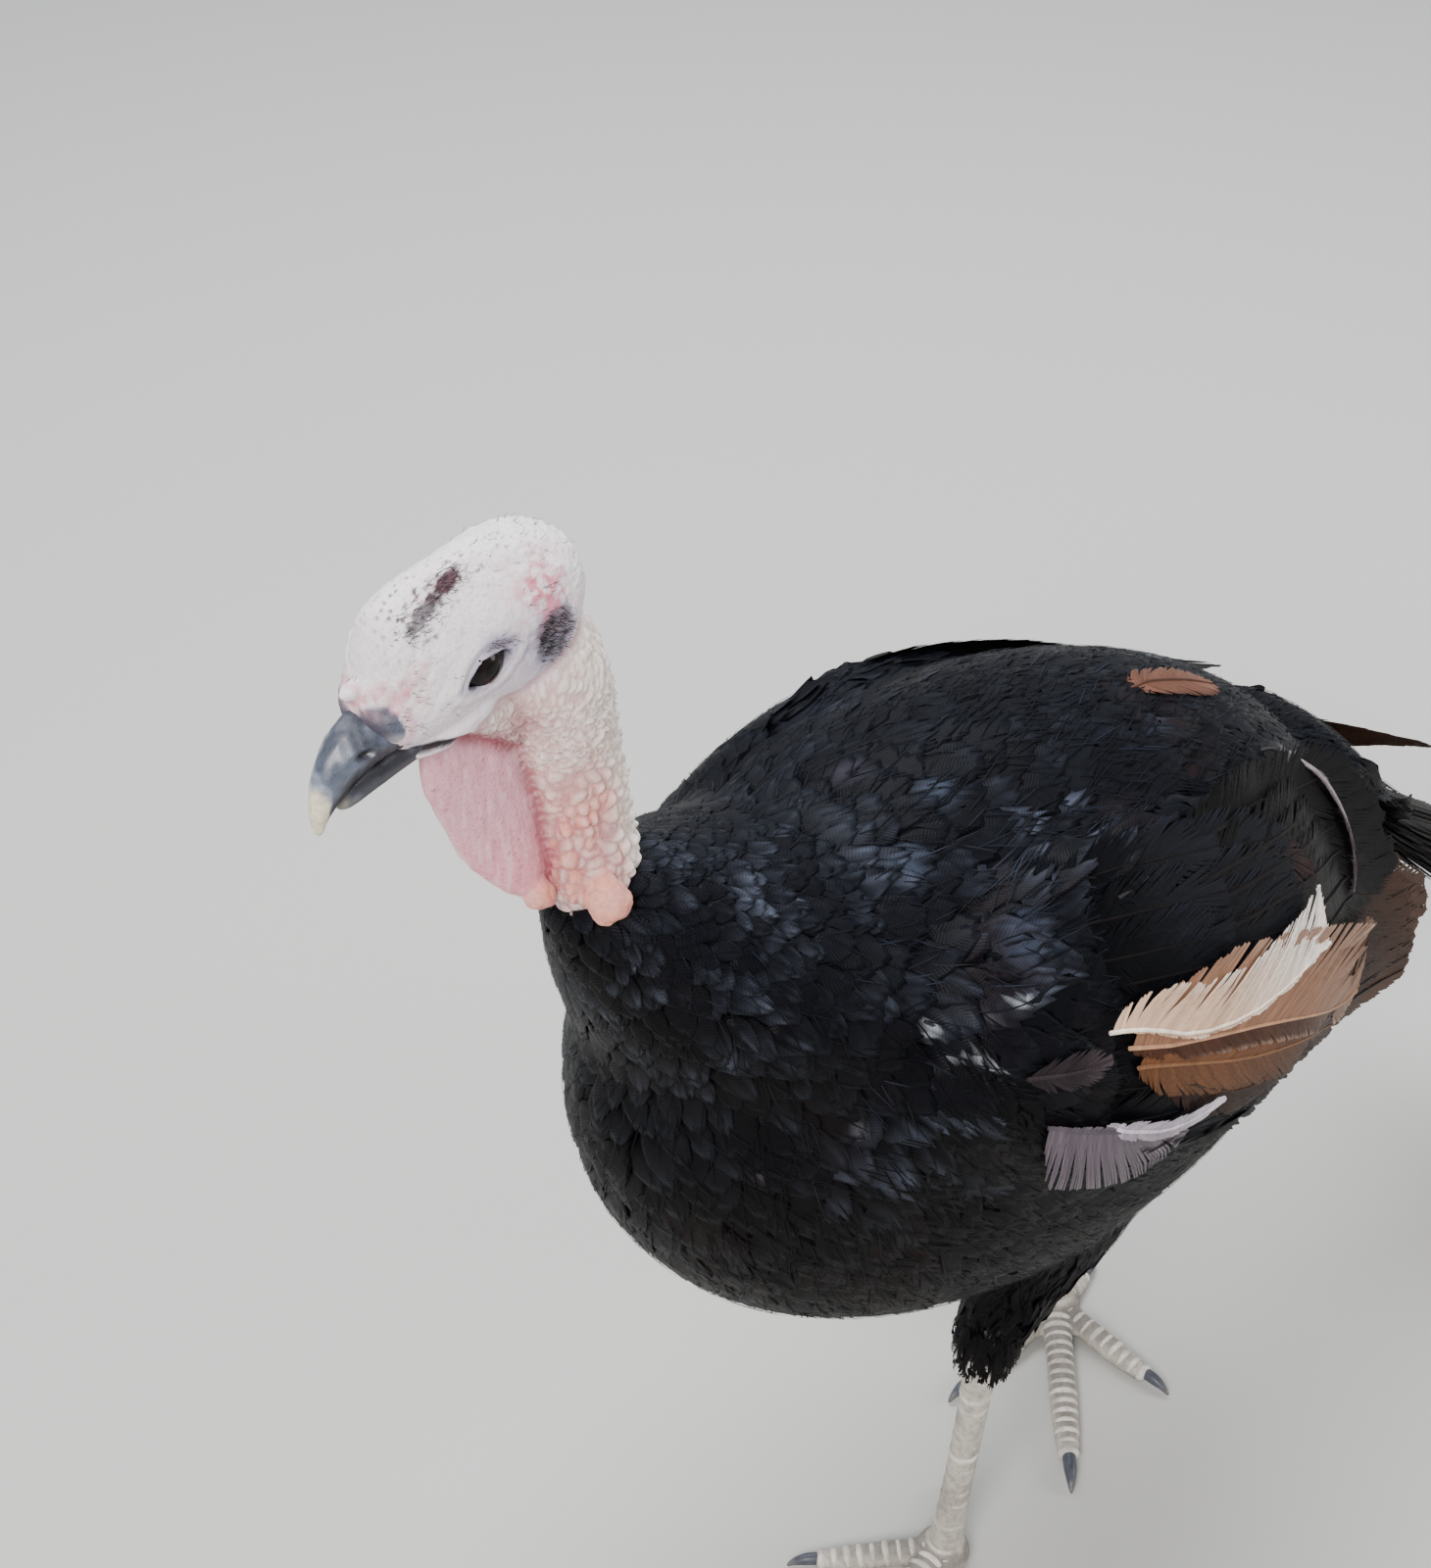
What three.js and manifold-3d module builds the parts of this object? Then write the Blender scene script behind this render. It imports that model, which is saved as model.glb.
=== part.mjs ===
// A domestic turkey hen, life size, standing in mid stride, made as a still museum model.
// Millimetres, +Z up, floor at z = 0. The bird faces -X and its left side is -Y.
// Every piece is one closed solid, and neighbours stand a thin seam apart.
import * as THREE from 'three';
import { mergeVertices } from 'three/addons/utils/BufferGeometryUtils.js';
import Module from 'manifold-3d';

const wasm = await Module();
wasm.setup();

const degree = Math.PI / 180;
const vec = (x, y, z) => new THREE.Vector3(x, y, z);

// Driving dimensions
const seam = 0.3;                          // clear gap between neighbouring pieces

const trunk = {
  centre: vec(1, -2, 289),
  pitch: 20 * degree,                      // nose up
  halfLength: 194,
  halfWidth: 102,
  halfHeight: 124,
};
const headPose = {
  at: vec(-215.9, 15.8, 526),              // on the midline, level with the eyes
  yaw: 2.3 * degree,                       // to the bird's left
  pitch: 8.8 * degree,                     // bill down
  roll: 2.9 * degree,                      // crown leaning to the bird's left
};
const eye = { forward: 2, out: 10, up: 0, radius: 7.2 };
const bill = { base: 36, tipForward: 57.8, tipDrop: -22.4, lowerForward: 49.5, lowerDrop: -19.8 };
const shank = { hockRadius: 9.5, radius: 6.3, ankleRadius: 8.2 };
const legs = {
  left: { side: -1, foot: [-39, -36], hock: [-31, -42, 134], hip: [8, -42, 226], heading: 4 * degree },
  right: { side: 1, foot: [97, 14], hock: [119, 30, 130], hip: [76, 36, 214], heading: 43 * degree },
};
const sole = 0.9;                          // how far a toe's round underside is flattened
const toes = {
  middle: { length: 84, spread: 0, radius: 6.1, claw: 16 },
  inner: { length: 53, spread: 46, radius: 5.4, claw: 13 },
  outer: { length: 60, spread: -44, radius: 5.2, claw: 13 },
  hind: { length: 26, spread: 144, radius: 4.5, claw: 11 },
};
const wings = {
  left: {
    side: -1, reach: 1.0, tuck: 0, flare: 12, tip: vec(190, -80, 238), tertials: [36, 0.78], hug: 0,
  },
  right: {
    side: 1, reach: 1.16, tuck: 42, flare: 3, tip: vec(298, -5, 226), tertials: [26, 0.96], hug: 2.5,
  },
};
const quills = { secondaries: 6, primaries: 3, rootThick: 2.2, tipThick: 0.6, notch: 0.05 };
const tail = {
  root: vec(168, -5, 287),
  slope: 35 * degree,                      // below the level
  swing: 13 * degree,                      // to the bird's left
  length: 268,
  feathers: 12,
  fan: 22 * degree,                        // from the outermost feather to the other
  rootWidth: 46,
  rootThick: 4.5,
  tipThick: 0.8,
  notch: 0.035,                            // how far the gaps between tips reach in
  sag: 12,                                 // how much lower the outer feathers lie
};

const finish = (color, roughness, metalness = 0) =>
  new THREE.MeshStandardMaterial({ color, roughness, metalness });
const finishes = {
  plumage: () => finish(0x14151c, 0.5),
  flight: () => finish(0x3a2a22, 0.6),
  face: () => finish(0xe8dadd, 0.55),
  wattle: () => finish(0xc88e95, 0.5),
  neckSkin: () => finish(0xdcae9f, 0.6),
  horn: () => finish(0x4a515e, 0.3),
  eyeball: () => finish(0x120d0c, 0.08),
  scutes: () => finish(0xc7c0b2, 0.6),
  claw: () => finish(0x4c505c, 0.4),
};

// A unit sphere whose latitudes and longitudes are carried to new places, as a closed solid.
function carried(sides, steps, place) {
  const ball = new THREE.SphereGeometry(1, sides, steps);
  ball.deleteAttribute('normal');
  ball.deleteAttribute('uv');
  const spots = ball.getAttribute('position');
  for (let row = 0; row <= steps; row++) {
    for (let side = 0; side <= sides; side++) {
      const spot = place(row / steps, ((side % sides) / sides) * Math.PI * 2);
      spots.setXYZ(row * (sides + 1) + side, spot.x, spot.y, spot.z);
    }
  }
  return solidOf(ball);
}

function signedVolume(points, index) {
  let sum = 0;
  const [a, b, c] = [vec(), vec(), vec()];
  for (let i = 0; i < index.count; i += 3) {
    a.fromBufferAttribute(points, index.getX(i));
    b.fromBufferAttribute(points, index.getX(i + 1));
    c.fromBufferAttribute(points, index.getX(i + 2));
    sum += a.dot(b.cross(c));
  }
  return sum;
}

function solidOf(geometry) {
  const merged = mergeVertices(geometry, 1e-3);
  const points = merged.getAttribute('position');
  const index = merged.getIndex();
  const inward = signedVolume(points, index) < 0;
  const triVerts = [];
  for (let i = 0; i < index.count; i += 3) {
    const [a, b, c] = [index.getX(i), index.getX(i + 1), index.getX(i + 2)];
    if (a !== b && b !== c && c !== a) triVerts.push(a, inward ? c : b, inward ? b : c);
  }
  return new wasm.Manifold(new wasm.Mesh({
    numProp: 3,
    vertProperties: new Float32Array(points.array),
    triVerts: new Uint32Array(triVerts),
  }));
}

// A value read smoothly along a list of stations, share running from 0 to 1.
function along(stations, share) {
  const curve = new THREE.CatmullRomCurve3(stations.map((s) => vec(s[0], s[1], s[2] ?? s[1])));
  return curve.getPoint(share);
}

// A solid drawn along a path. Each station gives its half width, half height above the path
// and half height below it. The caps are the shares of the length that round off to the ends.
function loft(form, grow = 0) {
  const { path, radii, caps = [0.1, 0.1], up = vec(0, 0, 1), sides = 14, steps = 12, square = 2 } = form;
  const curve = new THREE.CatmullRomCurve3(path);
  const power = 2 / square;
  const bent = (value) => Math.sign(value) * Math.abs(value) ** power;
  return carried(sides, steps, (row, angle) => {
    const share = (1 - Math.cos(Math.PI * row)) / 2;
    const tangent = curve.getTangent(share);
    const height = (up.isVector3 ? up : up(share)).clone();
    height.addScaledVector(tangent, -height.dot(tangent)).normalize();
    const width = vec().crossVectors(height, tangent);
    const [wide, above, below] = along(radii, share).toArray();
    const start = caps[0] ? Math.min(1, share / caps[0]) : 1;
    const end = caps[1] ? Math.min(1, (1 - share) / caps[1]) : 1;
    const pole = row === 0 || row === 1;
    const round = pole ? 0 : Math.sqrt(1 - (1 - start) ** 2) * Math.sqrt(1 - (1 - end) ** 2);
    const out = pole ? 0 : grow;
    const [across, rise] = [bent(Math.cos(angle)), bent(Math.sin(angle))];
    return curve.getPoint(share)
      .addScaledVector(tangent, grow * (2 * share - 1))
      .addScaledVector(width, across * (wide * round + out))
      .addScaledVector(height, rise * ((rise > 0 ? above : below) * round + out));
  });
}

// A flat box whose columns and rows of points are carried to new places, as a closed solid.
function slab(columns, rows, place) {
  const box = new THREE.BoxGeometry(1, 1, 1, columns, rows, 1).translate(0.5, 0.5, 0);
  box.deleteAttribute('normal');
  box.deleteAttribute('uv');
  const spots = box.getAttribute('position');
  for (let i = 0; i < spots.count; i++) {
    const spot = place(spots.getX(i), spots.getY(i), Math.sign(spots.getZ(i)));
    spots.setXYZ(i, spot.x, spot.y, spot.z);
  }
  return solidOf(box);
}

// A fan of long feathers as one slab with a rounded tip to each. The spot function gives a place
// from the shares across and along, and the rise function the direction of its upper face.
function quillFan({ feathers, range = [0, 1], rows = 3, spot, rise, rootThick, tipThick, notch }, grow = 0) {
  const columnsEach = 3;
  const columns = Math.round(feathers * (range[1] - range[0])) * columnsEach;
  return slab(columns, rows, (column, share, face) => {
    const across = THREE.MathUtils.lerp(range[0], range[1], column);
    const atGap = Math.round(column * columns) % columnsEach === 0;
    const reach = share * (atGap ? 1 - notch : 1);
    const thick = THREE.MathUtils.lerp(rootThick, tipThick, share) * (atGap ? 0.75 : 1);
    const widen = grow * (column - 0.5) * 0.02;
    return spot(across + widen, reach + grow * (share - 0.5) * 0.01)
      .addScaledVector(rise(across, share), face * (thick + grow));
  });
}

const cut = (solid, ...tools) => largest(tools.reduce((rest, tool) => rest.subtract(tool), solid));

// The biggest piece of a solid, without the crumbs a cut can leave.
function largest(solid) {
  return solid.decompose().reduce((best, piece) => (piece.volume() > best.volume() ? piece : best));
}

// Trunk

const bodyBack = vec(Math.cos(trunk.pitch), 0, -Math.sin(trunk.pitch));   // from breast to vent
const bodyUp = vec(Math.sin(trunk.pitch), 0, Math.cos(trunk.pitch));

const onAxis = (share, rise = 0, side = 0) => trunk.centre.clone()
  .addScaledVector(bodyBack, trunk.halfLength * (2 * share - 1))
  .addScaledVector(bodyUp, rise)
  .add(vec(0, side, 0));

const trunkRadii = [
  [0.96, 0.88, 1.06], [0.97, 0.9, 1.07], [0.97, 0.91, 1.05], [0.97, 0.93, 1.01], [0.96, 0.96, 0.95],
  [0.94, 1.0, 0.88], [0.9, 1.04, 0.82],
].map(([w, above, below]) => [w * trunk.halfWidth, above * trunk.halfHeight, below * trunk.halfHeight]);

const trunkForm = {
  path: [0, 0.25, 0.5, 0.75, 1].map((share) => onAxis(share)),
  radii: trunkRadii, caps: [0.5, 0.5], up: bodyUp, sides: 19, steps: 15,
};
const trunkSolid = (grow) => loft(trunkForm, grow);

// A place on the flank: share along the trunk, angle from the back's midline, side -1 is left.
// Behind the ribs it runs straight on, where the trunk itself draws in.
function flank(share, angle, side, lift = 0) {
  const ribs = 0.62;
  const round = (s) => Math.sqrt(Math.max(0, 1 - (1 - 2 * s) ** 2));
  const slope = 0.95;
  const fullness = share < ribs ? round(share) : round(ribs) - slope * (share - ribs);
  const wide = trunk.halfWidth * fullness + lift;
  const high = trunk.halfHeight * fullness + lift;
  return onAxis(share, high * Math.cos(angle), side * wide * Math.sin(angle));
}
const flankNormal = (angle, side) => bodyUp.clone().multiplyScalar(Math.cos(angle))
  .add(vec(0, side * Math.sin(angle), 0));

// Rump and tail

const tailBack = vec(
  Math.cos(tail.slope) * Math.cos(tail.swing),
  -Math.cos(tail.slope) * Math.sin(tail.swing),
  -Math.sin(tail.slope),
);
const tailAcross = vec(Math.sin(tail.swing), Math.cos(tail.swing), 0);
const tailUp = vec().crossVectors(tailBack, tailAcross);
const onTail = (back, across = 0, up = 0) => tail.root.clone()
  .addScaledVector(tailBack, back).addScaledVector(tailAcross, across).addScaledVector(tailUp, up);

const rumpForm = {
  path: [onAxis(0.7, 28), vec(138, -4, 285), onTail(12, 0, -7), onTail(48, 0, -6)],
  radii: [[78, 60, 84], [66, 38, 66], [43, 24, 34], [23, 11, 14]],
  caps: [0.3, 0.14], up: bodyUp, sides: 14, steps: 8,
};
const rumpSolid = (grow) => loft(rumpForm, grow);

function tailFan(range, grow) {
  return quillFan({
    feathers: tail.feathers, range, rootThick: tail.rootThick, tipThick: tail.tipThick, notch: tail.notch,
    spot: (across, share) => {
      const place = 2 * across - 1;
      const turn = place * tail.fan / 2;
      const far = tail.length * share * (1 - 0.06 * place * place);
      return onTail(far * Math.cos(turn), far * Math.sin(turn) + (tail.rootWidth / 2) * place,
        (6 * Math.sin(Math.PI * share) - tail.sag * place * place) * (0.4 + 0.6 * share));
    },
    rise: (across) => tailUp.clone().addScaledVector(tailAcross, 0.25 * (2 * across - 1)).normalize(),
  }, grow);
}

const upperCovertsForm = {
  path: [onAxis(0.84, 60), onTail(6, 0, 21), onTail(56, 0, 13), onTail(108, 0, 9)],
  radii: [[40, 9, 12], [38, 9, 12], [31, 6, 8], [18, 2.5, 3]],
  caps: [0.2, 0.12], up: tailUp, sides: 10, steps: 7,
};
const underCovertsForm = {
  path: [onAxis(0.92, -30), onTail(20, 0, -28), onTail(62, 0, -18), onTail(112, 0, -12)],
  radii: [[36, 16, 18], [36, 14, 16], [28, 8, 11], [14, 3, 3]],
  caps: [0.2, 0.12], up: tailUp, sides: 10, steps: 7,
};

// Wings, folded along the flanks

function wingCoverts({ side, hug }, grow) {
  return carried(12, 10, (row, angle) => {
    const pole = row === 0 || row === 1;
    const share = (1 - Math.cos(Math.PI * row)) / 2;
    const reach = 0.17 + 0.56 * share;
    const [top, bottom] = [(34 + 6 * share) * degree, (102 - 9 * share) * degree];
    const spread = Math.sin(Math.PI * (0.05 + 0.9 * share)) ** 0.4;
    const around = (top + bottom) / 2 + (pole ? 0 : ((bottom - top) / 2) * spread * Math.cos(angle));
    const depth = pole ? 0 : 8 * Math.sin(Math.PI * (0.12 + 0.76 * share)) ** 0.6;
    return flank(reach, around, side, 3.6 - hug / 2 + Math.sin(angle) * (depth + (pole ? 0 : grow)));
  });
}

// The long feathers of one wing, between two angles round the flank at the root and at the tip.
function wingFan({ side, flare, tip }, { count, from, to, step, root, end, lifts, toTip }, grow) {
  const turned = (across, share) => {
    const [top, bottom] = [0, 1].map((i) => THREE.MathUtils.lerp(root[i], end[i], share));
    return THREE.MathUtils.lerp(top, bottom, across) * degree;
  };
  const onFlank = (across, share) => flank(
    THREE.MathUtils.lerp(from, to + step * across, share), turned(across, share), side,
    THREE.MathUtils.lerp(lifts[0], lifts[1] + flare, share ** 3));
  const drawn = toTip ? tip.clone().sub(onFlank(0.5, 1)) : vec();
  return quillFan({
    feathers: count, rootThick: quills.rootThick, tipThick: quills.tipThick, notch: quills.notch,
    spot: (across, share) => onFlank(across, share).addScaledVector(drawn, share * share),
    rise: (across, share) => flankNormal(turned(across, share), side),
  }, grow);
}
const secondaries = (wing, grow) => wingFan(wing, {
  count: quills.secondaries, from: 0.44, to: wing.tertials[1], step: 0.97 - wing.tertials[1],
  root: [44, 93], end: [wing.tertials[0], 86], lifts: [2, 7 - wing.hug],
}, grow);
const primaries = (wing, grow) => wingFan(wing, {
  count: quills.primaries, from: 0.5, to: wing.reach, step: -0.1,
  root: [70, 95], end: [64 - wing.tuck, 84 - wing.tuck], lifts: [1.5, 2], toTip: true,
}, grow);

// Neck

const hackleForm = {
  path: [vec(-86, -3, 330), vec(-121, -1, 364), vec(-154, 2, 396), vec(-174, 5, 422), vec(-180, 7, 437)],
  radii: [[84, 66, 62], [70, 54, 58], [48, 36, 42], [27, 22, 25], [19, 17, 18]],
  caps: [0.4, 0.08], up: vec(0.6, 0, 0.8), sides: 14, steps: 9,
};
const hackleSolid = (grow) => loft(hackleForm, grow);

const neckForm = {
  path: [vec(-178, 6, 408), vec(-182, 8, 440), vec(-184, 11, 474), vec(-188, 13.5, 503), vec(-196, 15, 524)],
  radii: [[16, 16.5, 16.5], [15.5, 16, 16], [15, 16, 15.5], [15.5, 19, 16], [14.5, 18, 14]],
  caps: [0.06, 0.2], up: vec(1, 0, 0.1), sides: 13, steps: 8,
};
const neckSolid = (grow) => loft(neckForm, grow);

const caruncleForms = {
  caruncle_left: { path: [vec(-187, -7, 446), vec(-189, -9, 436), vec(-189, -9, 427)],
    radii: [[8, 7, 7], [9, 8, 8], [7.5, 6.5, 6.5]] },
  caruncle_front: { path: [vec(-199, 7, 445), vec(-202, 6, 438), vec(-202, 6, 430)],
    radii: [[6, 5, 5], [7, 6, 6], [5.5, 5, 5]] },
  caruncle_right: { path: [vec(-187, 23, 446), vec(-189, 25, 437), vec(-189, 25, 429)],
    radii: [[8, 7, 7], [9, 8, 8], [7, 6, 6]] },
};
const caruncleSolid = (name, grow) =>
  loft({ ...caruncleForms[name], caps: [0.5, 0.5], up: vec(1, 0, 0), sides: 8, steps: 5 }, grow);

// Head, in its own frame: x forward, y to the left, z up

const headForm = {
  path: [
    vec(-43, 0, -1), vec(-29, 0, 2), vec(-13, 0, 3), vec(3, 0, 3), vec(17, 0, 1), vec(28, 0, -2),
    vec(37, 0, -5),
  ],
  radii: [
    [17.5, 18, 23], [18.6, 23, 26], [17.8, 26.5, 25], [16, 28.5, 21], [15.4, 28, 17.5],
    [12.6, 15.5, 13.5], [8.6, 7.5, 9],
  ],
  caps: [0.3, 0.12], sides: 16, steps: 11,
};
const headSolid = (grow) => loft(headForm, grow);
const eyeSolid = (side, grow) => loft({
  path: [-1, 0, 1].map((s) => vec(eye.forward, side * (eye.out + s * eye.radius), eye.up)),
  radii: [[eye.radius, eye.radius], [eye.radius, eye.radius]],
  caps: [0.5, 0.5], sides: 8, steps: 6,
}, grow);
const upperBillForm = {
  path: [
    vec(24, 0, -6), vec(bill.base, 0, -4.5), vec(46, 0, -7.5), vec(53, 0, -13.5), vec(56.6, 0, -19),
    vec(bill.tipForward, 0, bill.tipDrop),
  ],
  radii: [[10, 8, 7], [8.2, 8.2, 7], [6, 6.2, 6.4], [3.9, 4, 5], [2.2, 2.2, 2.6], [1.1, 1.1, 1.3]],
  caps: [0.1, 0.1], sides: 10, steps: 10,
};
const lowerBillForm = {
  path: [
    vec(14, 0, -15.5), vec(26, 0, -16), vec(37, 0, -16.8), vec(45, 0, -18.6),
    vec(bill.lowerForward, 0, bill.lowerDrop),
  ],
  radii: [[9.5, 3, 4], [8, 3.2, 4.4], [5.6, 3, 3.8], [3.4, 2.2, 2.6], [1.6, 1.2, 1.4]],
  caps: [0.1, 0.15], sides: 10, steps: 7,
};
const snoodForm = {
  path: [vec(28, 0, 6), vec(35, 0, 9.5), vec(39.5, 0, 10.5)], radii: [[3.6, 3.6], [3, 3], [2.2, 2.2]],
  caps: [0.4, 0.5], sides: 8, steps: 4,
};

// The flap of skin under the chin, thin from side to side
const dewlapForm = {
  path: [
    vec(-229, 15, 507), vec(-221, 13.5, 490), vec(-212, 12, 467), vec(-205, 10, 449), vec(-200, 8, 435),
  ],
  radii: [[3.6, 9, 12], [4.4, 13, 18], [5, 14, 18], [5.4, 10, 12], [5, 6, 8]],
  caps: [0.25, 0.25], up: vec(-1, 0, -0.35), sides: 10, steps: 8,
};

// Legs

function thighForm(leg) {
  const [hip, hock] = [vec(...leg.hip), vec(...leg.hock)];
  const spot = (share, out = 0) => hip.clone().lerp(hock, share).add(vec(0, leg.side * out, 0));
  return {
    path: [spot(0), spot(0.32, 3), spot(0.62, 2), spot(0.88), spot(1.05)],
    radii: [[40, 52, 50], [31, 40, 38], [20, 25, 24], [14.5, 16.5, 16], [12.5, 13.5, 13]],
    caps: [0.3, 0.1], up: vec(-1, 0, 0), sides: 11, steps: 7,
  };
}
function shankForm(leg) {
  const [hock, foot] = [vec(...leg.hock), vec(...leg.foot, 9)];
  const spot = (share) => hock.clone().lerp(foot, share);
  return {
    path: [spot(-0.1), spot(0.04), spot(0.2), spot(0.55), spot(0.85), spot(1)],
    radii: [[7.5, 8, 8], [8.6, shank.hockRadius, shank.hockRadius], [6, 6.8, 7.2],
      [5.7, shank.radius, 7], [6.2, 7, 7.4], [7.6, shank.ankleRadius, shank.ankleRadius]],
    caps: [0.12, 0.08], up: vec(-1, 0, 0), sides: 10, steps: 8,
  };
}

// Feet, each in its own frame: x along the middle toe
const padForm = {
  path: [vec(-11, 0, 7.5), vec(0, 0, 8), vec(12, 0, 6.5)], radii: [[9, 6, 7.5], [11.5, 8, 8.2], [9, 6, 6.6]],
  caps: [0.5, 0.5], sides: 11, steps: 6,
};
function toeDirection(toe, side) {
  const turn = toe.spread * degree * side;
  return vec(Math.cos(turn), Math.sin(turn), 0);
}
function toeForm(toe, side) {
  const ahead = toeDirection(toe, side);
  const [r, reach] = [toe.radius, toe.length];
  const spot = (share, z) => ahead.clone().multiplyScalar(5 + (reach - 5) * share).setZ(z);
  return {
    path: [
      spot(0, r + 1), spot(0.3, r + 0.6), spot(0.6, r - sole), spot(0.85, r * 0.9 - sole),
      spot(1, r * 0.82 - sole),
    ],
    radii: [
      [r * 1.15, r, r], [r, r * 0.95, r], [r * 1.02, r * 0.9, r], [r * 0.9, r * 0.8, r * 0.92],
      [r * 0.72, r * 0.7, r * 0.8],
    ],
    caps: [0.1, 0.1], sides: 8, steps: 5,
  };
}
function clawForm(toe, side) {
  const ahead = toeDirection(toe, side);
  const r = toe.radius * 0.55;
  const spot = (far, z) => ahead.clone().multiplyScalar(toe.length + far).setZ(z);
  return {
    path: [
      spot(-4, r + 1.4), spot(toe.claw * 0.35, r + 1.7), spot(toe.claw * 0.75, r + 0.4),
      spot(toe.claw, 1.1),
    ],
    radii: [[r * 0.9, r, r], [r * 0.85, r * 0.9, r * 0.9], [r * 0.55, r * 0.55, r * 0.55], [0.6, 0.6, 0.6]],
    caps: [0.1, 0.1], sides: 6, steps: 4,
  };
}
const floorBlock = () => {
  const block = new THREE.BoxGeometry(700, 700, 40).translate(0, 0, -20);
  block.deleteAttribute('normal');
  block.deleteAttribute('uv');
  return solidOf(block);
};

// Assembly

const bird = new THREE.Group();

function addPiece(name, solid, material, group = bird) {
  const { vertProperties, triVerts, numProp } = solid.getMesh();
  const points = new Float32Array((vertProperties.length / numProp) * 3);
  for (let i = 0; i < points.length / 3; i++) {
    points.set(vertProperties.slice(i * numProp, i * numProp + 3), i * 3);
  }
  const geometry = new THREE.BufferGeometry();
  geometry.setAttribute('position', new THREE.BufferAttribute(points, 3));
  geometry.setIndex([...triVerts]);
  geometry.computeVertexNormals();
  const mesh = new THREE.Mesh(geometry, material);
  mesh.name = name;
  group.add(mesh);
}

// Head

const head = new THREE.Group();
head.rotation.set(headPose.roll, headPose.pitch, Math.PI + headPose.yaw, 'ZYX');
head.position.copy(headPose.at);
head.updateMatrix();
bird.add(head);
const inBird = (solid, group) => solid.transform(group.matrix.elements);

const eyeHole = (grow) => eyeSolid(1, grow).add(eyeSolid(-1, grow));
const headParts = {
  upper: (grow) => loft(upperBillForm, grow),
  lower: (grow) => loft(lowerBillForm, grow),
  snood: (grow) => loft(snoodForm, grow),
};
addPiece('head', cut(headSolid(0), eyeHole(seam)), finishes.face(), head);
addPiece('eye_left', eyeSolid(1, 0), finishes.eyeball(), head);
addPiece('eye_right', eyeSolid(-1, 0), finishes.eyeball(), head);
addPiece('bill_upper', cut(headParts.upper(0), headSolid(seam)), finishes.horn(), head);
const lowerBill = cut(headParts.lower(0), headSolid(seam), headParts.upper(seam));
addPiece('bill_lower', lowerBill, finishes.horn(), head);
addPiece('snood', cut(headParts.snood(0), headSolid(seam), headParts.upper(seam)), finishes.wattle(), head);

// Neck and wattles

const headWhole = inBird(headSolid(seam), head);
addPiece('neck_hackle', cut(hackleSolid(0), trunkSolid(seam)), finishes.plumage());
const bareNeck = cut(neckSolid(0), headWhole, hackleSolid(seam));
addPiece('neck_bare', bareNeck, finishes.neckSkin());
const dewlapSolid = (grow) => loft(dewlapForm, grow);
const chin = inBird(headParts.lower(seam), head);
const hangingFold = cut(dewlapSolid(0), headWhole, chin, neckSolid(seam), hackleSolid(seam));
addPiece('dewlap', hangingFold, finishes.wattle());
for (const name of Object.keys(caruncleForms)) {
  const bump = cut(caruncleSolid(name, 0), neckSolid(seam), hackleSolid(seam), dewlapSolid(seam));
  addPiece(name, bump, finishes.neckSkin());
}

// Trunk, wings and tail

addPiece('trunk', trunkSolid(0), finishes.plumage());
addPiece('rump', cut(rumpSolid(0), trunkSolid(seam)), finishes.plumage());
const body = (grow) => trunkSolid(grow).add(rumpSolid(grow)).add(hackleSolid(grow));

const tailRanges = { tail_left: [0, 1 / 3], tail_centre: [1 / 3, 2 / 3], tail_right: [2 / 3, 1] };
const tailInset = 0.003;                   // half the gap between the parts of the fan
const tailWhole = (grow) => tailFan([0, 1], grow);
for (const [name, [low, high]] of Object.entries(tailRanges)) {
  addPiece(name, cut(tailFan([low + tailInset, high - tailInset], 0), body(seam)), finishes.flight());
}
const upperCoverts = (grow) => loft(upperCovertsForm, grow);
addPiece('tail_coverts_upper', cut(upperCoverts(0), body(seam), tailWhole(seam)), finishes.plumage());
addPiece('tail_coverts_under', cut(loft(underCovertsForm), body(seam), tailWhole(seam), upperCoverts(seam)),
  finishes.plumage());

const behind = body(seam).add(tailWhole(seam)).add(upperCoverts(seam)).add(loft(underCovertsForm, seam));
for (const [sideName, wing] of Object.entries(wings)) {
  const inner = cut(secondaries(wing, 0), behind, wingCoverts(wing, seam));
  const outer = cut(primaries(wing, 0), behind, wingCoverts(wing, seam), secondaries(wing, seam));
  addPiece(`wing_${sideName}_coverts`, cut(wingCoverts(wing, 0), behind), finishes.plumage());
  addPiece(`wing_${sideName}_secondaries`, inner, finishes.flight());
  addPiece(`wing_${sideName}_primaries`, outer, finishes.flight());
}

// Legs and feet

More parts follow.
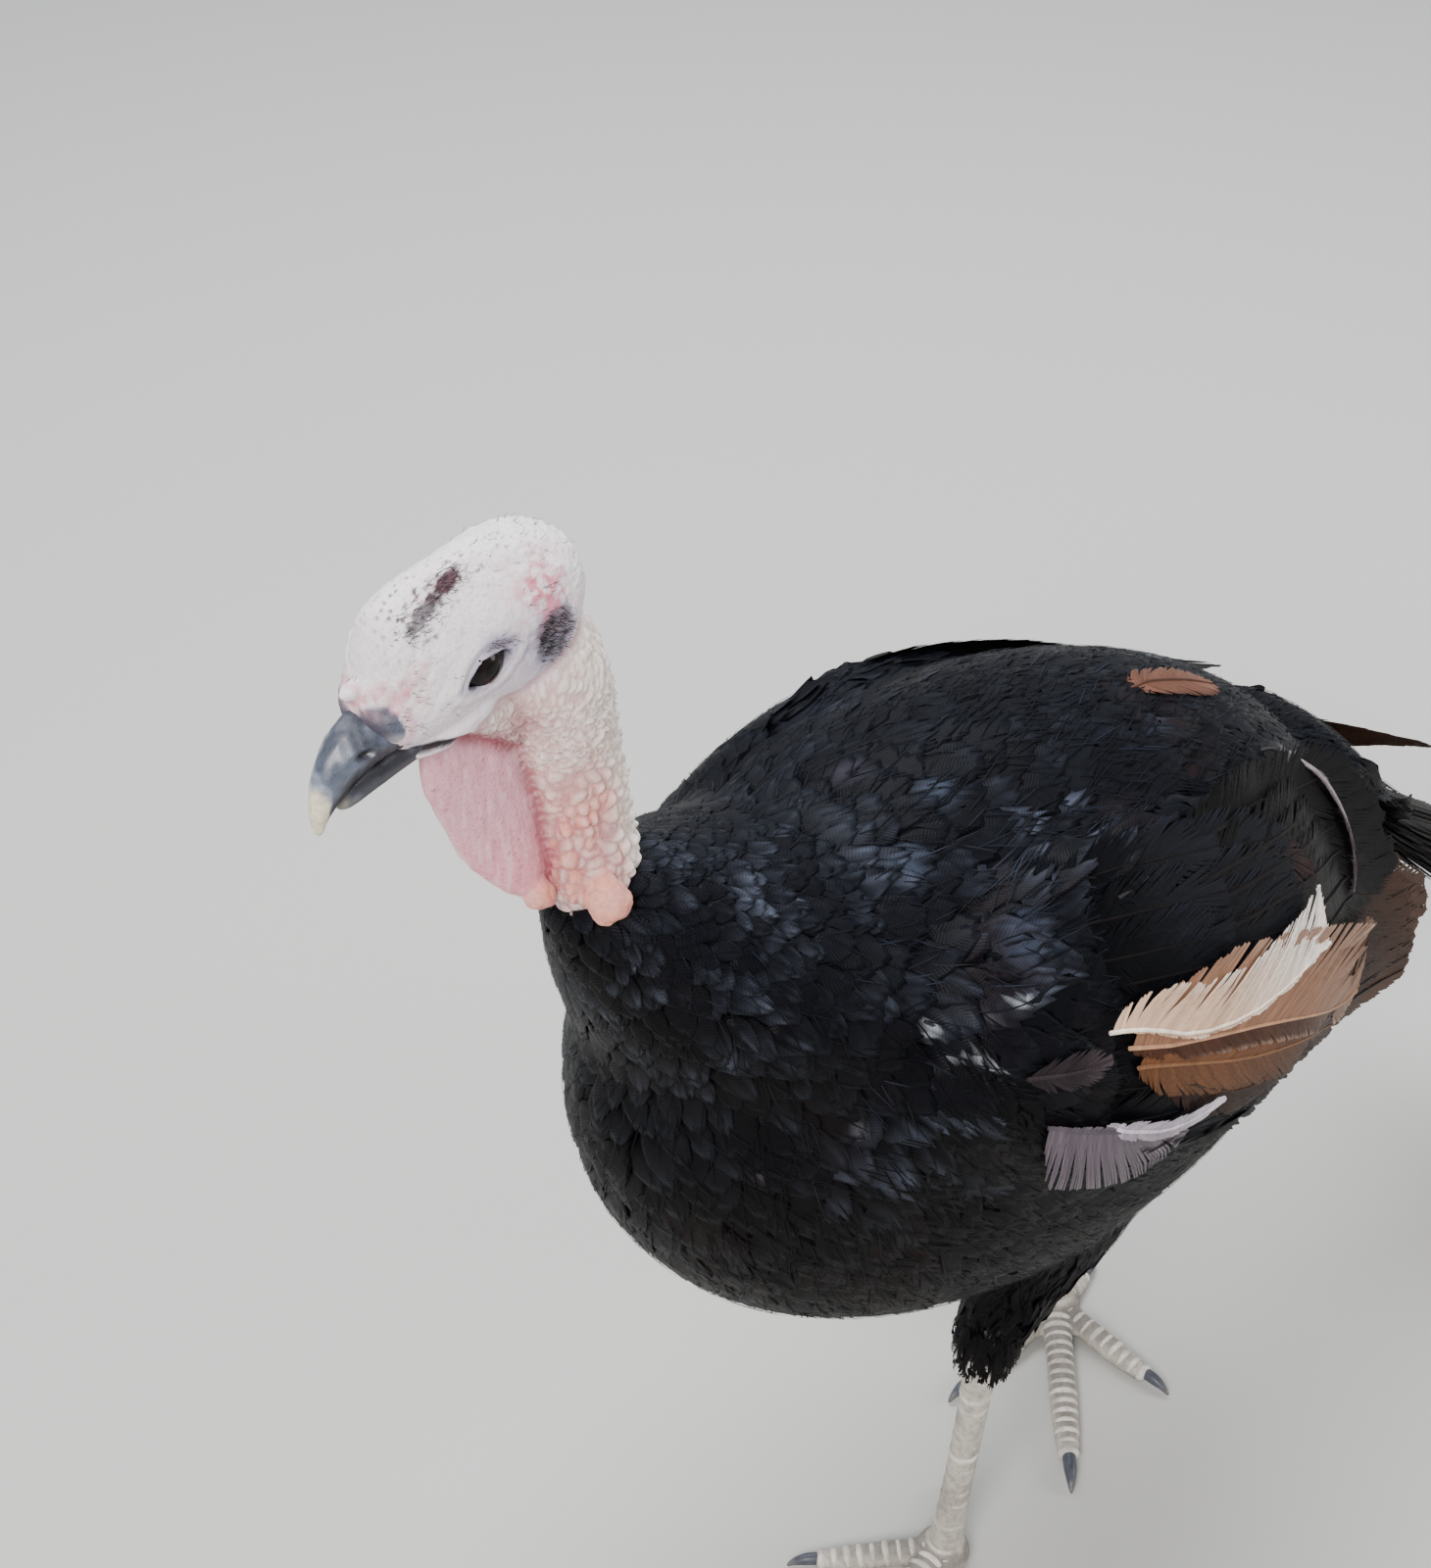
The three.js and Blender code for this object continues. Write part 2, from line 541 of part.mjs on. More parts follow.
for (const [sideName, leg] of Object.entries(legs)) {
  const foot = new THREE.Group();
  foot.rotation.z = Math.PI + leg.heading;
  foot.position.set(...leg.foot, 0);
  foot.updateMatrix();
  bird.add(foot);

  const wing = wings[sideName];
  const folded = wingCoverts(wing, seam).add(secondaries(wing, seam)).add(primaries(wing, seam));
  const thigh = thighForm(leg);
  const lowerLeg = shankForm(leg);
  const pad = (grow) => loft(padForm, grow).subtract(floorBlock());
  const toeSolid = (toe, grow) => loft(toeForm(toe, leg.side), grow).subtract(floorBlock());
  addPiece(`thigh_${sideName}`, cut(loft(thigh), body(seam), folded), finishes.plumage());
  const shankSolid = cut(loft(lowerLeg), loft(thigh, seam), inBird(pad(seam), foot));
  addPiece(`shank_${sideName}`, shankSolid, finishes.scutes());
  addPiece(`foot_${sideName}`, largest(pad(0)), finishes.scutes(), foot);
  const laid = [pad(seam)];
  for (const [toeName, toe] of Object.entries(toes)) {
    addPiece(`toe_${sideName}_${toeName}`, cut(toeSolid(toe, 0), ...laid), finishes.scutes(), foot);
    const claw = cut(loft(clawForm(toe, leg.side)), toeSolid(toe, seam));
    addPiece(`claw_${sideName}_${toeName}`, claw, finishes.claw(), foot);
    laid.push(toeSolid(toe, seam));
  }
}

// The origin goes to the floor under the middle of the whole bird
const model = new THREE.Group();
model.add(bird);
const whole = new THREE.Box3().setFromObject(model, true);
const middle = whole.getCenter(vec());
bird.position.set(-middle.x, -middle.y, -whole.min.z);

export default model;
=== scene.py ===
import itertools
import math

import bmesh
import bpy
import numpy as np
from mathutils import Matrix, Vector
from mathutils.bvhtree import BVHTree
from mathutils.kdtree import KDTree


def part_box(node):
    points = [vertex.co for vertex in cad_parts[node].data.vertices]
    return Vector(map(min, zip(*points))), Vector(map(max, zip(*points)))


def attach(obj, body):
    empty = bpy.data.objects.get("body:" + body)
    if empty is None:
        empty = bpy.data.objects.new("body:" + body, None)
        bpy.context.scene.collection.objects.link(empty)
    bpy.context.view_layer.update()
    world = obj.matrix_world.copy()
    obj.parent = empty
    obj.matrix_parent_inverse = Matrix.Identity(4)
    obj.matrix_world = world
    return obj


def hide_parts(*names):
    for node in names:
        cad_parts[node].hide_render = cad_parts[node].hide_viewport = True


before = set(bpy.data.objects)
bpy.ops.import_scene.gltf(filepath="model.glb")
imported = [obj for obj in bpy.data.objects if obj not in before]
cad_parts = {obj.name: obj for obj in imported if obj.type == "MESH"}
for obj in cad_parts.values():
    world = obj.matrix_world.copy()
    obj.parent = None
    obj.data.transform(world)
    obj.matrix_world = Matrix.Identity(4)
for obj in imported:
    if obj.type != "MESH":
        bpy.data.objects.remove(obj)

for leftOver in ("Cube", "Light", "Camera"):    # what a new file holds
    if leftOver in bpy.data.objects:
        bpy.data.objects.remove(bpy.data.objects[leftOver])
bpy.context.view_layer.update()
mm = 0.001


def unit(vectors):
    return vectors / np.maximum(np.linalg.norm(vectors, axis=-1, keepdims=True), 1e-9)


def eased(values, low, high):
    share = np.clip((np.asarray(values, float) - low) / (high - low), 0, 1)
    return share * share * (3 - 2 * share)


def faded(values, low, high):
    return 1 - eased(values, low, high)


def hump(values, middle, width):
    return np.exp(-(((np.asarray(values, float) - middle) / width) ** 2))


def mixed(a, b, share):
    return a + (b - a) * share


def away(points, spot):
    return np.linalg.norm(points - np.asarray(spot, float), axis=-1)


def shade(red, green, blue):
    # a colour as a painter reads it, from 0 to 255, made linear
    parts = np.array([red, green, blue]) / 255
    return np.where(parts > 0.04045, ((parts + 0.055) / 1.055) ** 2.4, parts / 12.92)


# Shapes are worked out in millimetres in the bird's own frame: it faces -X, its left side is -Y

headPose = {"at": (-215.9, 15.8, 526.0), "yaw": 2.3, "pitch": 8.8, "roll": 2.9, "eyeForward": 2.0}


def turned(axis, degrees):
    return np.array(Matrix.Rotation(math.radians(degrees), 3, axis))


headTurn = turned("Z", 180 + headPose["yaw"]) @ turned("Y", headPose["pitch"]) @ turned("X", headPose["roll"])
headAt = np.array(headPose["at"])
eyeMiddles = [np.add(*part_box(node)) / 2 / mm for node in ("eye_left", "eye_right")]
birdShift = np.mean(eyeMiddles, axis=0) - (headAt + headTurn @ (headPose["eyeForward"], 0, 0))


def fromHead(points):
    return headAt + np.asarray(points, float) @ headTurn.T


def toHead(points):
    return (points - headAt) @ headTurn


# Camera, floor and light come first

view = {"at": (-562.8, -427.6, 907.8), "azimuth": -45.0, "elevation": 37.5, "roll": -0.4, "lens": 58.26}


def setUp(name, data, right, up, back, at):
    thing = bpy.data.objects.new(name, data)
    place = np.eye(4)
    place[:3] = np.column_stack([right, up, back, at])
    thing.matrix_world = Matrix(place.tolist())
    bpy.context.scene.collection.objects.link(thing)
    return thing


def placeCamera():
    azimuth, elevation, roll = (math.radians(view[k]) for k in ("azimuth", "elevation", "roll"))
    back = np.array([math.sin(azimuth) * math.cos(elevation), -math.cos(azimuth) * math.cos(elevation),
                     math.sin(elevation)])
    right = np.array([math.cos(azimuth), math.sin(azimuth), 0])
    up = np.cross(back, right)
    right, up = (right * math.cos(roll) + up * math.sin(roll),
                 up * math.cos(roll) - right * math.sin(roll))
    camera = bpy.data.cameras.new("camera")
    camera.lens = view["lens"]
    camera.clip_start = 0.05
    at = (np.array(view["at"]) + birdShift) * mm
    bpy.context.scene.camera = setUp("camera", camera, right, up, back, at)


lights = {    # where it stands, what it aims at, its size, watts and colour
    "sky": ((0.5, 0.7, 2.3), (0, 0, 0.3), 2.0, 78, (0.93, 0.97, 1.0)),
    "window": ((-1.9, -0.9, 1.9), (-0.1, 0, 0.3), 1.0, 66, (1.0, 0.98, 0.95)),
    "rear": ((1.6, -1.5, 1.1), (0, 0, 0.3), 1.0, 18, (1.0, 0.97, 0.93)),
}
surroundLight = {"colour": (0.82, 0.87, 0.95, 1), "strength": 0.55}
floorPaint = {"size": 4.0, "colour": (0.56, 0.55, 0.52, 1), "roughness": 0.75}


def softLight(name, at, aim, size, watts, colour):
    lamp = bpy.data.lights.new(name, "AREA")
    lamp.shape = "DISK"
    lamp.size = size
    lamp.energy = watts
    lamp.color = colour
    back = unit(np.array(at, float) - np.array(aim, float))
    right = unit(np.cross((0, 0, 1), back))
    setUp(name, lamp, right, np.cross(back, right), back, at)


def paleFloor():
    sheet = bmesh.new()
    bmesh.ops.create_grid(sheet, x_segments=8, y_segments=8, size=floorPaint["size"])
    mesh = bpy.data.meshes.new("floor")
    sheet.to_mesh(mesh)
    sheet.free()
    material = bpy.data.materials.new("floor paint")
    material.use_nodes = True
    shader = material.node_tree.nodes["Principled BSDF"]
    shader.inputs["Base Color"].default_value = floorPaint["colour"]
    shader.inputs["Roughness"].default_value = floorPaint["roughness"]
    mesh.materials.append(material)
    floor = bpy.data.objects.new("floor", mesh)
    bpy.context.scene.collection.objects.link(floor)


placeCamera()
paleFloor()
for name, lamp in lights.items():
    softLight(name, *lamp)
surround = bpy.data.worlds.new("surround")
surround.use_nodes = True
surround.node_tree.nodes["Background"].inputs["Color"].default_value = surroundLight["colour"]
surround.node_tree.nodes["Background"].inputs["Strength"].default_value = surroundLight["strength"]
bpy.context.scene.world = surround
print("camera and lights placed")


# Random but repeatable patterns

def hashed(cells, seed):
    mix = cells[..., 0] * 73856093 ^ cells[..., 1] * 19349663 ^ cells[..., 2] * 83492791 ^ (seed * 7919 + 17)
    mix = (mix ^ (mix >> 13)) * 1274126177 & 0xFFFFFFFF
    return ((mix ^ (mix >> 16)) & 0xFFFF) / 65535.0


def softNoise(points, size, seed):
    spots = np.asarray(points, float) / size
    base = np.floor(spots).astype(np.int64)
    inside = spots - base
    inside = inside * inside * (3 - 2 * inside)
    total = 0
    for corner in itertools.product((0, 1), repeat=3):
        weight = np.prod(np.where(corner, inside, 1 - inside), axis=-1)
        total = total + weight * hashed(base + corner, seed)
    return total * 2 - 1


def cellular(points, seed):
    # distance to the nearest and next cell middle, and a value for each cell
    base = np.floor(points).astype(np.int64)
    near = np.full(len(points), 9.0)
    second = near.copy()
    value = np.zeros(len(points))
    for corner in itertools.product((-1, 0, 1), repeat=3):
        cell = base + corner
        middle = cell + np.stack([hashed(cell, seed + k) for k in (1, 2, 3)], -1) * 0.8 + 0.1
        gap = np.linalg.norm(points - middle, axis=1)
        closer = gap < near
        second = np.where(closer, near, np.minimum(second, gap))
        value = np.where(closer, hashed(cell, seed + 4), value)
        near = np.where(closer, gap, near)
    return near, second, value


# Mesh work

def curveAt(stations, shares):
    # a smooth curve through the stations, read at shares from 0 to 1
    stops = np.asarray(stations, float)
    stops = np.vstack([2 * stops[0] - stops[1], stops, 2 * stops[-1] - stops[-2]])
    spans = len(stops) - 3
    shares = np.clip(np.asarray(shares, float), 0, 1) * spans
    whole = np.minimum(np.floor(shares).astype(int), spans - 1)
    t = (shares - whole)[..., None]
    p0, p1, p2, p3 = (stops[whole + k] for k in range(4))
    d0, d1, d2 = (np.maximum(np.linalg.norm(b - a, axis=-1, keepdims=True), 1e-6) ** 0.5
                  for a, b in ((p0, p1), (p1, p2), (p2, p3)))
    out = ((p1 - p0) / d0 - (p2 - p0) / (d0 + d1) + (p2 - p1) / d1) * d1
    into = ((p2 - p1) / d1 - (p3 - p1) / (d1 + d2) + (p3 - p2) / d2) * d1
    return (p1 + out * t + (3 * (p2 - p1) - 2 * out - into) * t ** 2
            + (2 * (p1 - p2) + out + into) * t ** 3)


def girths(form, shares):
    # half width, height above and depth below, the last two alike where only one is given
    return curveAt([(*r, r[-1])[:3] for r in form["radii"]], shares)


def loft(form, sides, steps, grow=0.0):
    # rows of points round a path, from one pole to the other
    path = form["path"]
    caps = form.get("caps", (0.1, 0.1))
    row = np.linspace(0, 1, steps + 1)
    share = (1 - np.cos(np.pi * row)) / 2
    tangent = unit(curveAt(path, share + 1e-4) - curveAt(path, share - 1e-4))
    up = np.array(form.get("up", (0, 0, 1)), float)
    height = unit(up - tangent * (tangent @ up)[:, None])
    width = np.cross(height, tangent)
    wide, above, below = girths(form, share).T
    start = np.minimum(1, share / caps[0])
    end = np.minimum(1, (1 - share) / caps[1])
    rounding = np.sqrt(1 - (1 - start) ** 2) * np.sqrt(1 - (1 - end) ** 2)
    pole = (row == 0) | (row == 1)
    rounding[pole] = 0
    out = np.where(pole, 0, grow)
    angle = np.arange(sides) / sides * 2 * np.pi
    across, rise = np.cos(angle), np.sin(angle)
    deep = np.where(rise[None] > 0, above[:, None], below[:, None]) * rounding[:, None] + out[:, None]
    middle = curveAt(path, share) + tangent * (grow * (2 * share - 1))[:, None]
    return (middle[:, None] + width[:, None] * (across * ((wide * rounding + out)[:, None]))[..., None]
            + height[:, None] * (rise * np.maximum(deep, 0))[..., None])


def closedTube(rows):
    # triangles over rows of points whose first and last rows are poles
    count, sides = rows.shape[:2]
    inner = np.arange((count - 2) * sides).reshape(count - 2, sides)
    ahead = np.roll(inner, -1, axis=1)
    first, last = (count - 2) * sides, (count - 2) * sides + 1
    faces = [np.stack([inner[:-1], ahead[:-1], ahead[1:]], -1).reshape(-1, 3),
             np.stack([inner[:-1], ahead[1:], inner[1:]], -1).reshape(-1, 3),
             np.stack([np.full(sides, first), ahead[0], inner[0]], -1),
             np.stack([np.full(sides, last), inner[-1], ahead[-1]], -1)]
    points = np.vstack([rows[1:-1].reshape(-1, 3), rows[0, :1], rows[-1, :1]])
    faces = np.vstack(faces)
    a, b, c = (points[faces[:, k]] for k in range(3))
    if np.einsum("ij,ij->", a, np.cross(b, c)) < 0:
        faces = faces[:, ::-1]
    return points, faces


def joined(meshes):
    points, faces, start = [], [], 0
    for spots, quads in meshes:
        points.append(spots)
        faces.append(quads + start)
        start += len(spots)
    return np.vstack(points), np.vstack(faces)


def manyOf(faces, count, step):
    # the faces of one small shape again for each of its copies
    return (faces[None] + step * np.arange(count)[:, None, None]).reshape(-1, faces.shape[1])


def rawMesh(name, points, faces):
    mesh = bpy.data.meshes.new(name)
    faces = np.asarray(faces, np.int32)
    count, corners = faces.shape
    mesh.vertices.add(len(points))
    mesh.vertices.foreach_set("co", ((np.asarray(points) + birdShift) * mm).astype(np.float32).ravel())
    mesh.loops.add(count * corners)
    mesh.loops.foreach_set("vertex_index", faces.ravel())
    mesh.polygons.add(count)
    mesh.polygons.foreach_set("loop_start", np.arange(0, count * corners, corners, dtype=np.int32))
    mesh.update(calc_edges=True)
    return mesh


def makePiece(name, points, faces, material, tints, maps, smooth=True):
    # a finished piece: its colours, with a fourth value for the finish, and its maps by name
    mesh = rawMesh(name, points, faces)
    corners = np.asarray(faces).ravel()
    mesh.polygons.foreach_set("use_smooth", np.full(len(mesh.polygons), smooth))
    for mapName, places in maps.items():
        layer = mesh.uv_layers.new(name=mapName)
        layer.data.foreach_set("uv", places[corners].astype(np.float32).ravel())
    if tints.shape[1] == 3:
        tints = np.column_stack([tints, np.ones(len(tints))])
    colour = mesh.color_attributes.new(name="tint", type="FLOAT_COLOR", domain="POINT")
    colour.data.foreach_set("color", tints.astype(np.float32).ravel())
    mesh.materials.append(material)
    piece = bpy.data.objects.new(name, mesh)
    bpy.context.scene.collection.objects.link(piece)
    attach(piece, "root")
    return piece


def shapedMesh(name, mesh, kind):
    thing = bpy.data.objects.new(name, mesh)
    bpy.context.scene.collection.objects.link(thing)
    return thing, thing.modifiers.new(name, kind)


def plainArrays(thing):
    # the object's modified mesh as plain arrays in millimetres, after which the object is gone
    result = bpy.data.meshes.new_from_object(thing.evaluated_get(bpy.context.evaluated_depsgraph_get()))
    points = np.zeros(len(result.vertices) * 3, np.float32)
    result.vertices.foreach_get("co", points)
    loops = np.zeros(len(result.loops), np.int32)
    result.loops.foreach_get("vertex_index", loops)
    counts = np.zeros(len(result.polygons), np.int32)
    result.polygons.foreach_get("loop_total", counts)
    given = thing.data
    thing.modifiers.clear()
    bpy.data.objects.remove(thing)
    bpy.data.meshes.remove(given)
    bpy.data.meshes.remove(result)
    return points.reshape(-1, 3).astype(float) / mm - birdShift, loops, counts


def remeshed(meshes, voxel, smoothing):
    # closed shells grown together into one skin with no seam
    work, remesh = shapedMesh("work", rawMesh("work", *joined(meshes)), "REMESH")
    remesh.mode = "VOXEL"
    remesh.voxel_size = voxel * mm
    soften = work.modifiers.new("soften", "SMOOTH")
    soften.factor = 0.5
    soften.iterations = smoothing
    points, loops, _ = plainArrays(work)
    return points, loops.reshape(-1, 4)


def normalsOf(points, quads):
    flat = np.cross(points[quads[:, 2]] - points[quads[:, 0]], points[quads[:, 3]] - points[quads[:, 1]])
    total = np.zeros_like(points)
    for k in range(4):
        np.add.at(total, quads[:, k], flat)
    return unit(total)


def gapsTo(points, cloud):
    # how far each point is from the nearest one of a cloud
    tree = KDTree(len(cloud))
    for k, spot in enumerate(cloud):
        tree.insert(spot, k)
    tree.balance()
    return np.array([tree.find(spot)[2] for spot in points])


def lineGap(points, line):
    # distance to a bent line and the share of its length at the nearest place
    stops = np.asarray(line, float)
    lengths = np.linalg.norm(np.diff(stops, axis=0), axis=1)
    best = np.full(len(points), 1e9)
    share = np.zeros(len(points))
    for k, (a, b) in enumerate(zip(stops[:-1], stops[1:])):
        t = np.clip(((points - a) @ (b - a)) / max(lengths[k] ** 2, 1e-9), 0, 1)
        gap = np.linalg.norm(points - a - t[:, None] * (b - a), axis=1)
        share = np.where(gap < best, (lengths[:k].sum() + t * lengths[k]) / lengths.sum(), share)
        best = np.minimum(best, gap)
    return best, share


# The trunk's own axes, the flank that the folded wings lie on, and the tail

trunkShape = {"centre": (1, -2, 289), "pitch": 20, "halfLength": 194, "halfWidth": 102, "halfHeight": 124}
tailShape = {"root": (168, -5, 287), "slope": 35, "swing": 13, "length": 268, "fan": 22, "rootWidth": 46,
             "sag": 12}
pitch = math.radians(trunkShape["pitch"])
bodyBack = np.array([math.cos(pitch), 0, -math.sin(pitch)])
bodyUp = np.array([math.sin(pitch), 0, math.cos(pitch)])
sideways = np.array([0, 1.0, 0])
slope, swing = math.radians(tailShape["slope"]), math.radians(tailShape["swing"])
tailBack = np.array([math.cos(slope) * math.cos(swing), -math.cos(slope) * math.sin(swing), -math.sin(slope)])
tailAcross = np.array([math.sin(swing), math.cos(swing), 0])
tailUp = np.cross(tailBack, tailAcross)


def floats(*values):
    return np.broadcast_arrays(*[np.asarray(v, float) for v in values])


def onAxis(share, rise=0.0, side=0.0):
    share, rise, side = floats(share, rise, side)
    along = trunkShape["halfLength"] * (2 * share - 1)
    return (np.array(trunkShape["centre"]) + along[..., None] * bodyBack + rise[..., None] * bodyUp
            + side[..., None] * sideways)


def flank(share, degrees, side, lift):
    share, degrees, lift = floats(share, degrees, lift)
    ribs = 0.62
    fullness = np.where(share < ribs, np.sqrt(np.clip(1 - (1 - 2 * np.minimum(share, ribs)) ** 2, 0, 1)),
                        math.sqrt(1 - (1 - 2 * ribs) ** 2) - 0.95 * (share - ribs))
    angle = np.radians(degrees)
    return onAxis(share, (trunkShape["halfHeight"] * fullness + lift) * np.cos(angle),
                  side * (trunkShape["halfWidth"] * fullness + lift) * np.sin(angle))


def flankNormal(degrees, side):
    angle = np.radians(np.asarray(degrees, float))[..., None]
    return np.cos(angle) * bodyUp + side * np.sin(angle) * sideways


def onTail(back, across, up):
    back, across, up = floats(back, across, up)
    return (np.array(tailShape["root"]) + back[..., None] * tailBack
            + across[..., None] * tailAcross + up[..., None] * tailUp)


trunkForm = {
    "path": [onAxis(share) for share in (0, 0.25, 0.5, 0.75, 1)],
    "radii": [(w * trunkShape["halfWidth"], a * trunkShape["halfHeight"], b * trunkShape["halfHeight"])
              for w, a, b in ((0.96, 0.88, 1.06), (0.97, 0.9, 1.07), (0.97, 0.91, 1.05), (0.97, 0.93, 1.01),
                              (0.96, 0.96, 0.95), (0.94, 1.0, 0.88), (0.9, 1.04, 0.82))],
    "caps": (0.5, 0.5), "up": bodyUp,
}
rumpForm = {
    "path": [onAxis(0.7, 28), (138, -4, 285), onTail(12, 0, -7), onTail(48, 0, -6)],
    "radii": [(78, 60, 84), (66, 38, 66), (43, 24, 34), (23, 11, 14)], "caps": (0.3, 0.14), "up": bodyUp,
}
hackleForm = {
    "path": [(-86, -3, 330), (-121, -1, 364), (-154, 2, 396), (-174, 5, 422), (-180, 7, 437)],
    "radii": [(84, 66, 62), (70, 54, 58), (48, 36, 42), (27, 22, 25), (19, 17, 18)],
    "caps": (0.4, 0.08), "up": (0.6, 0, 0.8),
}
neckForm = {
    "path": [(-178, 6, 408), (-182, 8, 440), (-184, 11, 474), (-188, 13.5, 503), (-196, 15, 524)],
    "radii": [(16, 16.5, 16.5), (15.5, 16, 16), (15, 16, 15.5), (15.5, 19, 16), (14.5, 18, 14)],
    "caps": (0.06, 0.2), "up": (1, 0, 0.1),
}
caruncleForms = {
    "caruncle_left": {"path": [(-187, -7, 446), (-189, -9, 436), (-189, -9, 427)],
                      "radii": [(8, 7, 7), (9, 8, 8), (7.5, 6.5, 6.5)]},
    "caruncle_front": {"path": [(-199, 7, 445), (-202, 6, 438), (-202, 6, 430)],
                       "radii": [(6, 5, 5), (7, 6, 6), (5.5, 5, 5)]},
    "caruncle_right": {"path": [(-187, 23, 446), (-189, 25, 437), (-189, 25, 429)],
                       "radii": [(8, 7, 7), (9, 8, 8), (7, 6, 6)]},
}
for form in caruncleForms.values():
    form.update(caps=(0.5, 0.5), up=(1, 0, 0))
dewlapForm = {
    "path": [(-229, 15, 507), (-221, 13.5, 490), (-212, 12, 467), (-205, 10, 449), (-200, 8, 435)],
    "radii": [(3.6, 9, 12), (4.4, 13, 18), (5, 14, 18), (5.4, 10, 12), (5, 6, 8)],
    "caps": (0.25, 0.25), "up": (-1, 0, -0.35),
}
headForm = {
    "path": [(-43, 0, -1), (-29, 0, 2), (-13, 0, 3), (3, 0, 3), (17, 0, 1), (28, 0, -2), (37, 0, -5)],
    "radii": [(17.5, 18, 23), (18.6, 23, 26), (17.8, 26.5, 25), (16, 28.5, 21), (15.4, 28, 17.5),
              (12.6, 15.5, 13.5), (8.6, 7.5, 9)],
    "caps": (0.3, 0.12),
}
snoodForm = {"path": [(28, 0, 6), (35, 0, 9.5), (39.5, 0, 10.5)], "radii": [(3.6, 3.6), (3, 3), (2.2, 2.2)],
             "caps": (0.4, 0.5)}
legs = {
    "left": {"side": -1, "foot": (-39, -36), "hock": (-31, -42, 134), "hip": (8, -42, 226), "heading": 4},
    "right": {"side": 1, "foot": (97, 14), "hock": (119, 30, 130), "hip": (76, 36, 214), "heading": 43},
}
for leg in legs.values():
    leg.update(hip=np.array(leg["hip"], float), hock=np.array(leg["hock"], float),
               ankle=np.array([*leg["foot"], 9.0]))
toes = {
    "middle": {"length": 84, "spread": 0, "radius": 6.1, "claw": 16},
    "inner": {"length": 53, "spread": 46, "radius": 5.4, "claw": 13},
    "outer": {"length": 60, "spread": -44, "radius": 5.2, "claw": 13},
    "hind": {"length": 26, "spread": 144, "radius": 4.5, "claw": 11},
}
sole = 0.9


def thighForm(leg):
    spot = lambda share, out=0: mixed(leg["hip"], leg["hock"], share) + (0, leg["side"] * out, 0)
    return {"path": [spot(0), spot(0.32, 3), spot(0.62, 2), spot(0.88), spot(1.05)],
            "radii": [(40, 52, 50), (31, 40, 38), (20, 25, 24), (14.5, 16.5, 16), (12.5, 13.5, 13)],
            "caps": (0.3, 0.1), "up": (-1, 0, 0)}


def shankForm(leg):
    return {"path": [mixed(leg["hock"], leg["ankle"], share) for share in (-0.1, 0.04, 0.2, 0.55, 0.85, 1)],
            "radii": [(7.5, 8, 8), (8.6, 9.5, 9.5), (6, 6.8, 7.2), (5.7, 6.3, 7), (6.2, 7, 7.4),
                      (7.6, 8.2, 8.2)],
            "caps": (0.12, 0.08), "up": (-1, 0, 0)}


def onFoot(leg, points):
    turn = turned("Z", 180 + leg["heading"])
    return np.asarray(points, float) @ turn.T + (*leg["foot"], 0)


def toeSpot(toe, side, far, height):
    turn = math.radians(toe["spread"]) * side
    return math.cos(turn) * far, math.sin(turn) * far, height


def toeForm(toe, side):
    r, reach = toe["radius"], toe["length"]
    spot = lambda share, z: toeSpot(toe, side, 5 + (reach - 5) * share, z)
    return {"path": [spot(0, r + 1), spot(0.3, r + 0.6), spot(0.6, r - sole), spot(0.85, r * 0.9 - sole),
                     spot(1, r * 0.82 - sole)],
            "radii": [(r * 1.15, r, r), (r, r * 0.95, r), (r * 1.02, r * 0.9, r),
                      (r * 0.9, r * 0.8, r * 0.92), (r * 0.72, r * 0.7, r * 0.8)]}


def clawForm(toe, side):
    r, claw = toe["radius"] * 0.55, toe["claw"]
    spot = lambda far, z: toeSpot(toe, side, toe["length"] + far, z)
    return {"path": [spot(-4, r + 1.4), spot(claw * 0.35, r + 1.7), spot(claw * 0.75, r + 0.4),
                     spot(claw, 1.1)],
            "radii": [(r * 0.9, r, r), (r * 0.85, r * 0.9, r * 0.9), (r * 0.55, r * 0.55, r * 0.55),
                      (0.6, 0.6, 0.6)]}


padForm = {"path": [(-11, 0, 7.5), (0, 0, 8), (12, 0, 6.5)],
           "radii": [(9, 6, 7.5), (11.5, 8, 8.2), (9, 6, 6.6)], "caps": (0.5, 0.5)}
wings = {
    "left": {"side": -1, "reach": 1.0, "tuck": 0, "flare": 12, "tip": (190, -80, 238), "tertials": (36, 0.78),
             "hug": 0},
    "right": {"side": 1, "reach": 1.16, "tuck": 42, "flare": 9, "tip": (298, -5, 230), "tertials": (26, 0.96),
              "hug": 4.4},
}


def wingBulge(wing, sides, steps, grow):
    row = np.linspace(0, 1, steps + 1)[:, None]
    angle = (np.arange(sides) / sides * 2 * np.pi)[None]
    pole = (row == 0) | (row == 1)
    share = (1 - np.cos(np.pi * row)) / 2
    top, bottom = 34 + 6 * share, 102 - 9 * share
    spread = np.sin(np.pi * (0.05 + 0.9 * share)) ** 0.4
    around = (top + bottom) / 2 + np.where(pole, 0, (bottom - top) / 2 * spread * np.cos(angle))
    # once shrunk below nothing the bulge stays a thin leaf and sinks instead
    depth = 8 * np.sin(np.pi * (0.12 + 0.76 * share)) ** 0.6 + grow
    thick = np.maximum(depth, 1.5)
    lift = 3.6 - wing["hug"] / 2 + depth - thick + np.sin(angle) * np.where(pole, 0, thick)
    return flank(0.17 + 0.56 * share, around, wing["side"], lift)


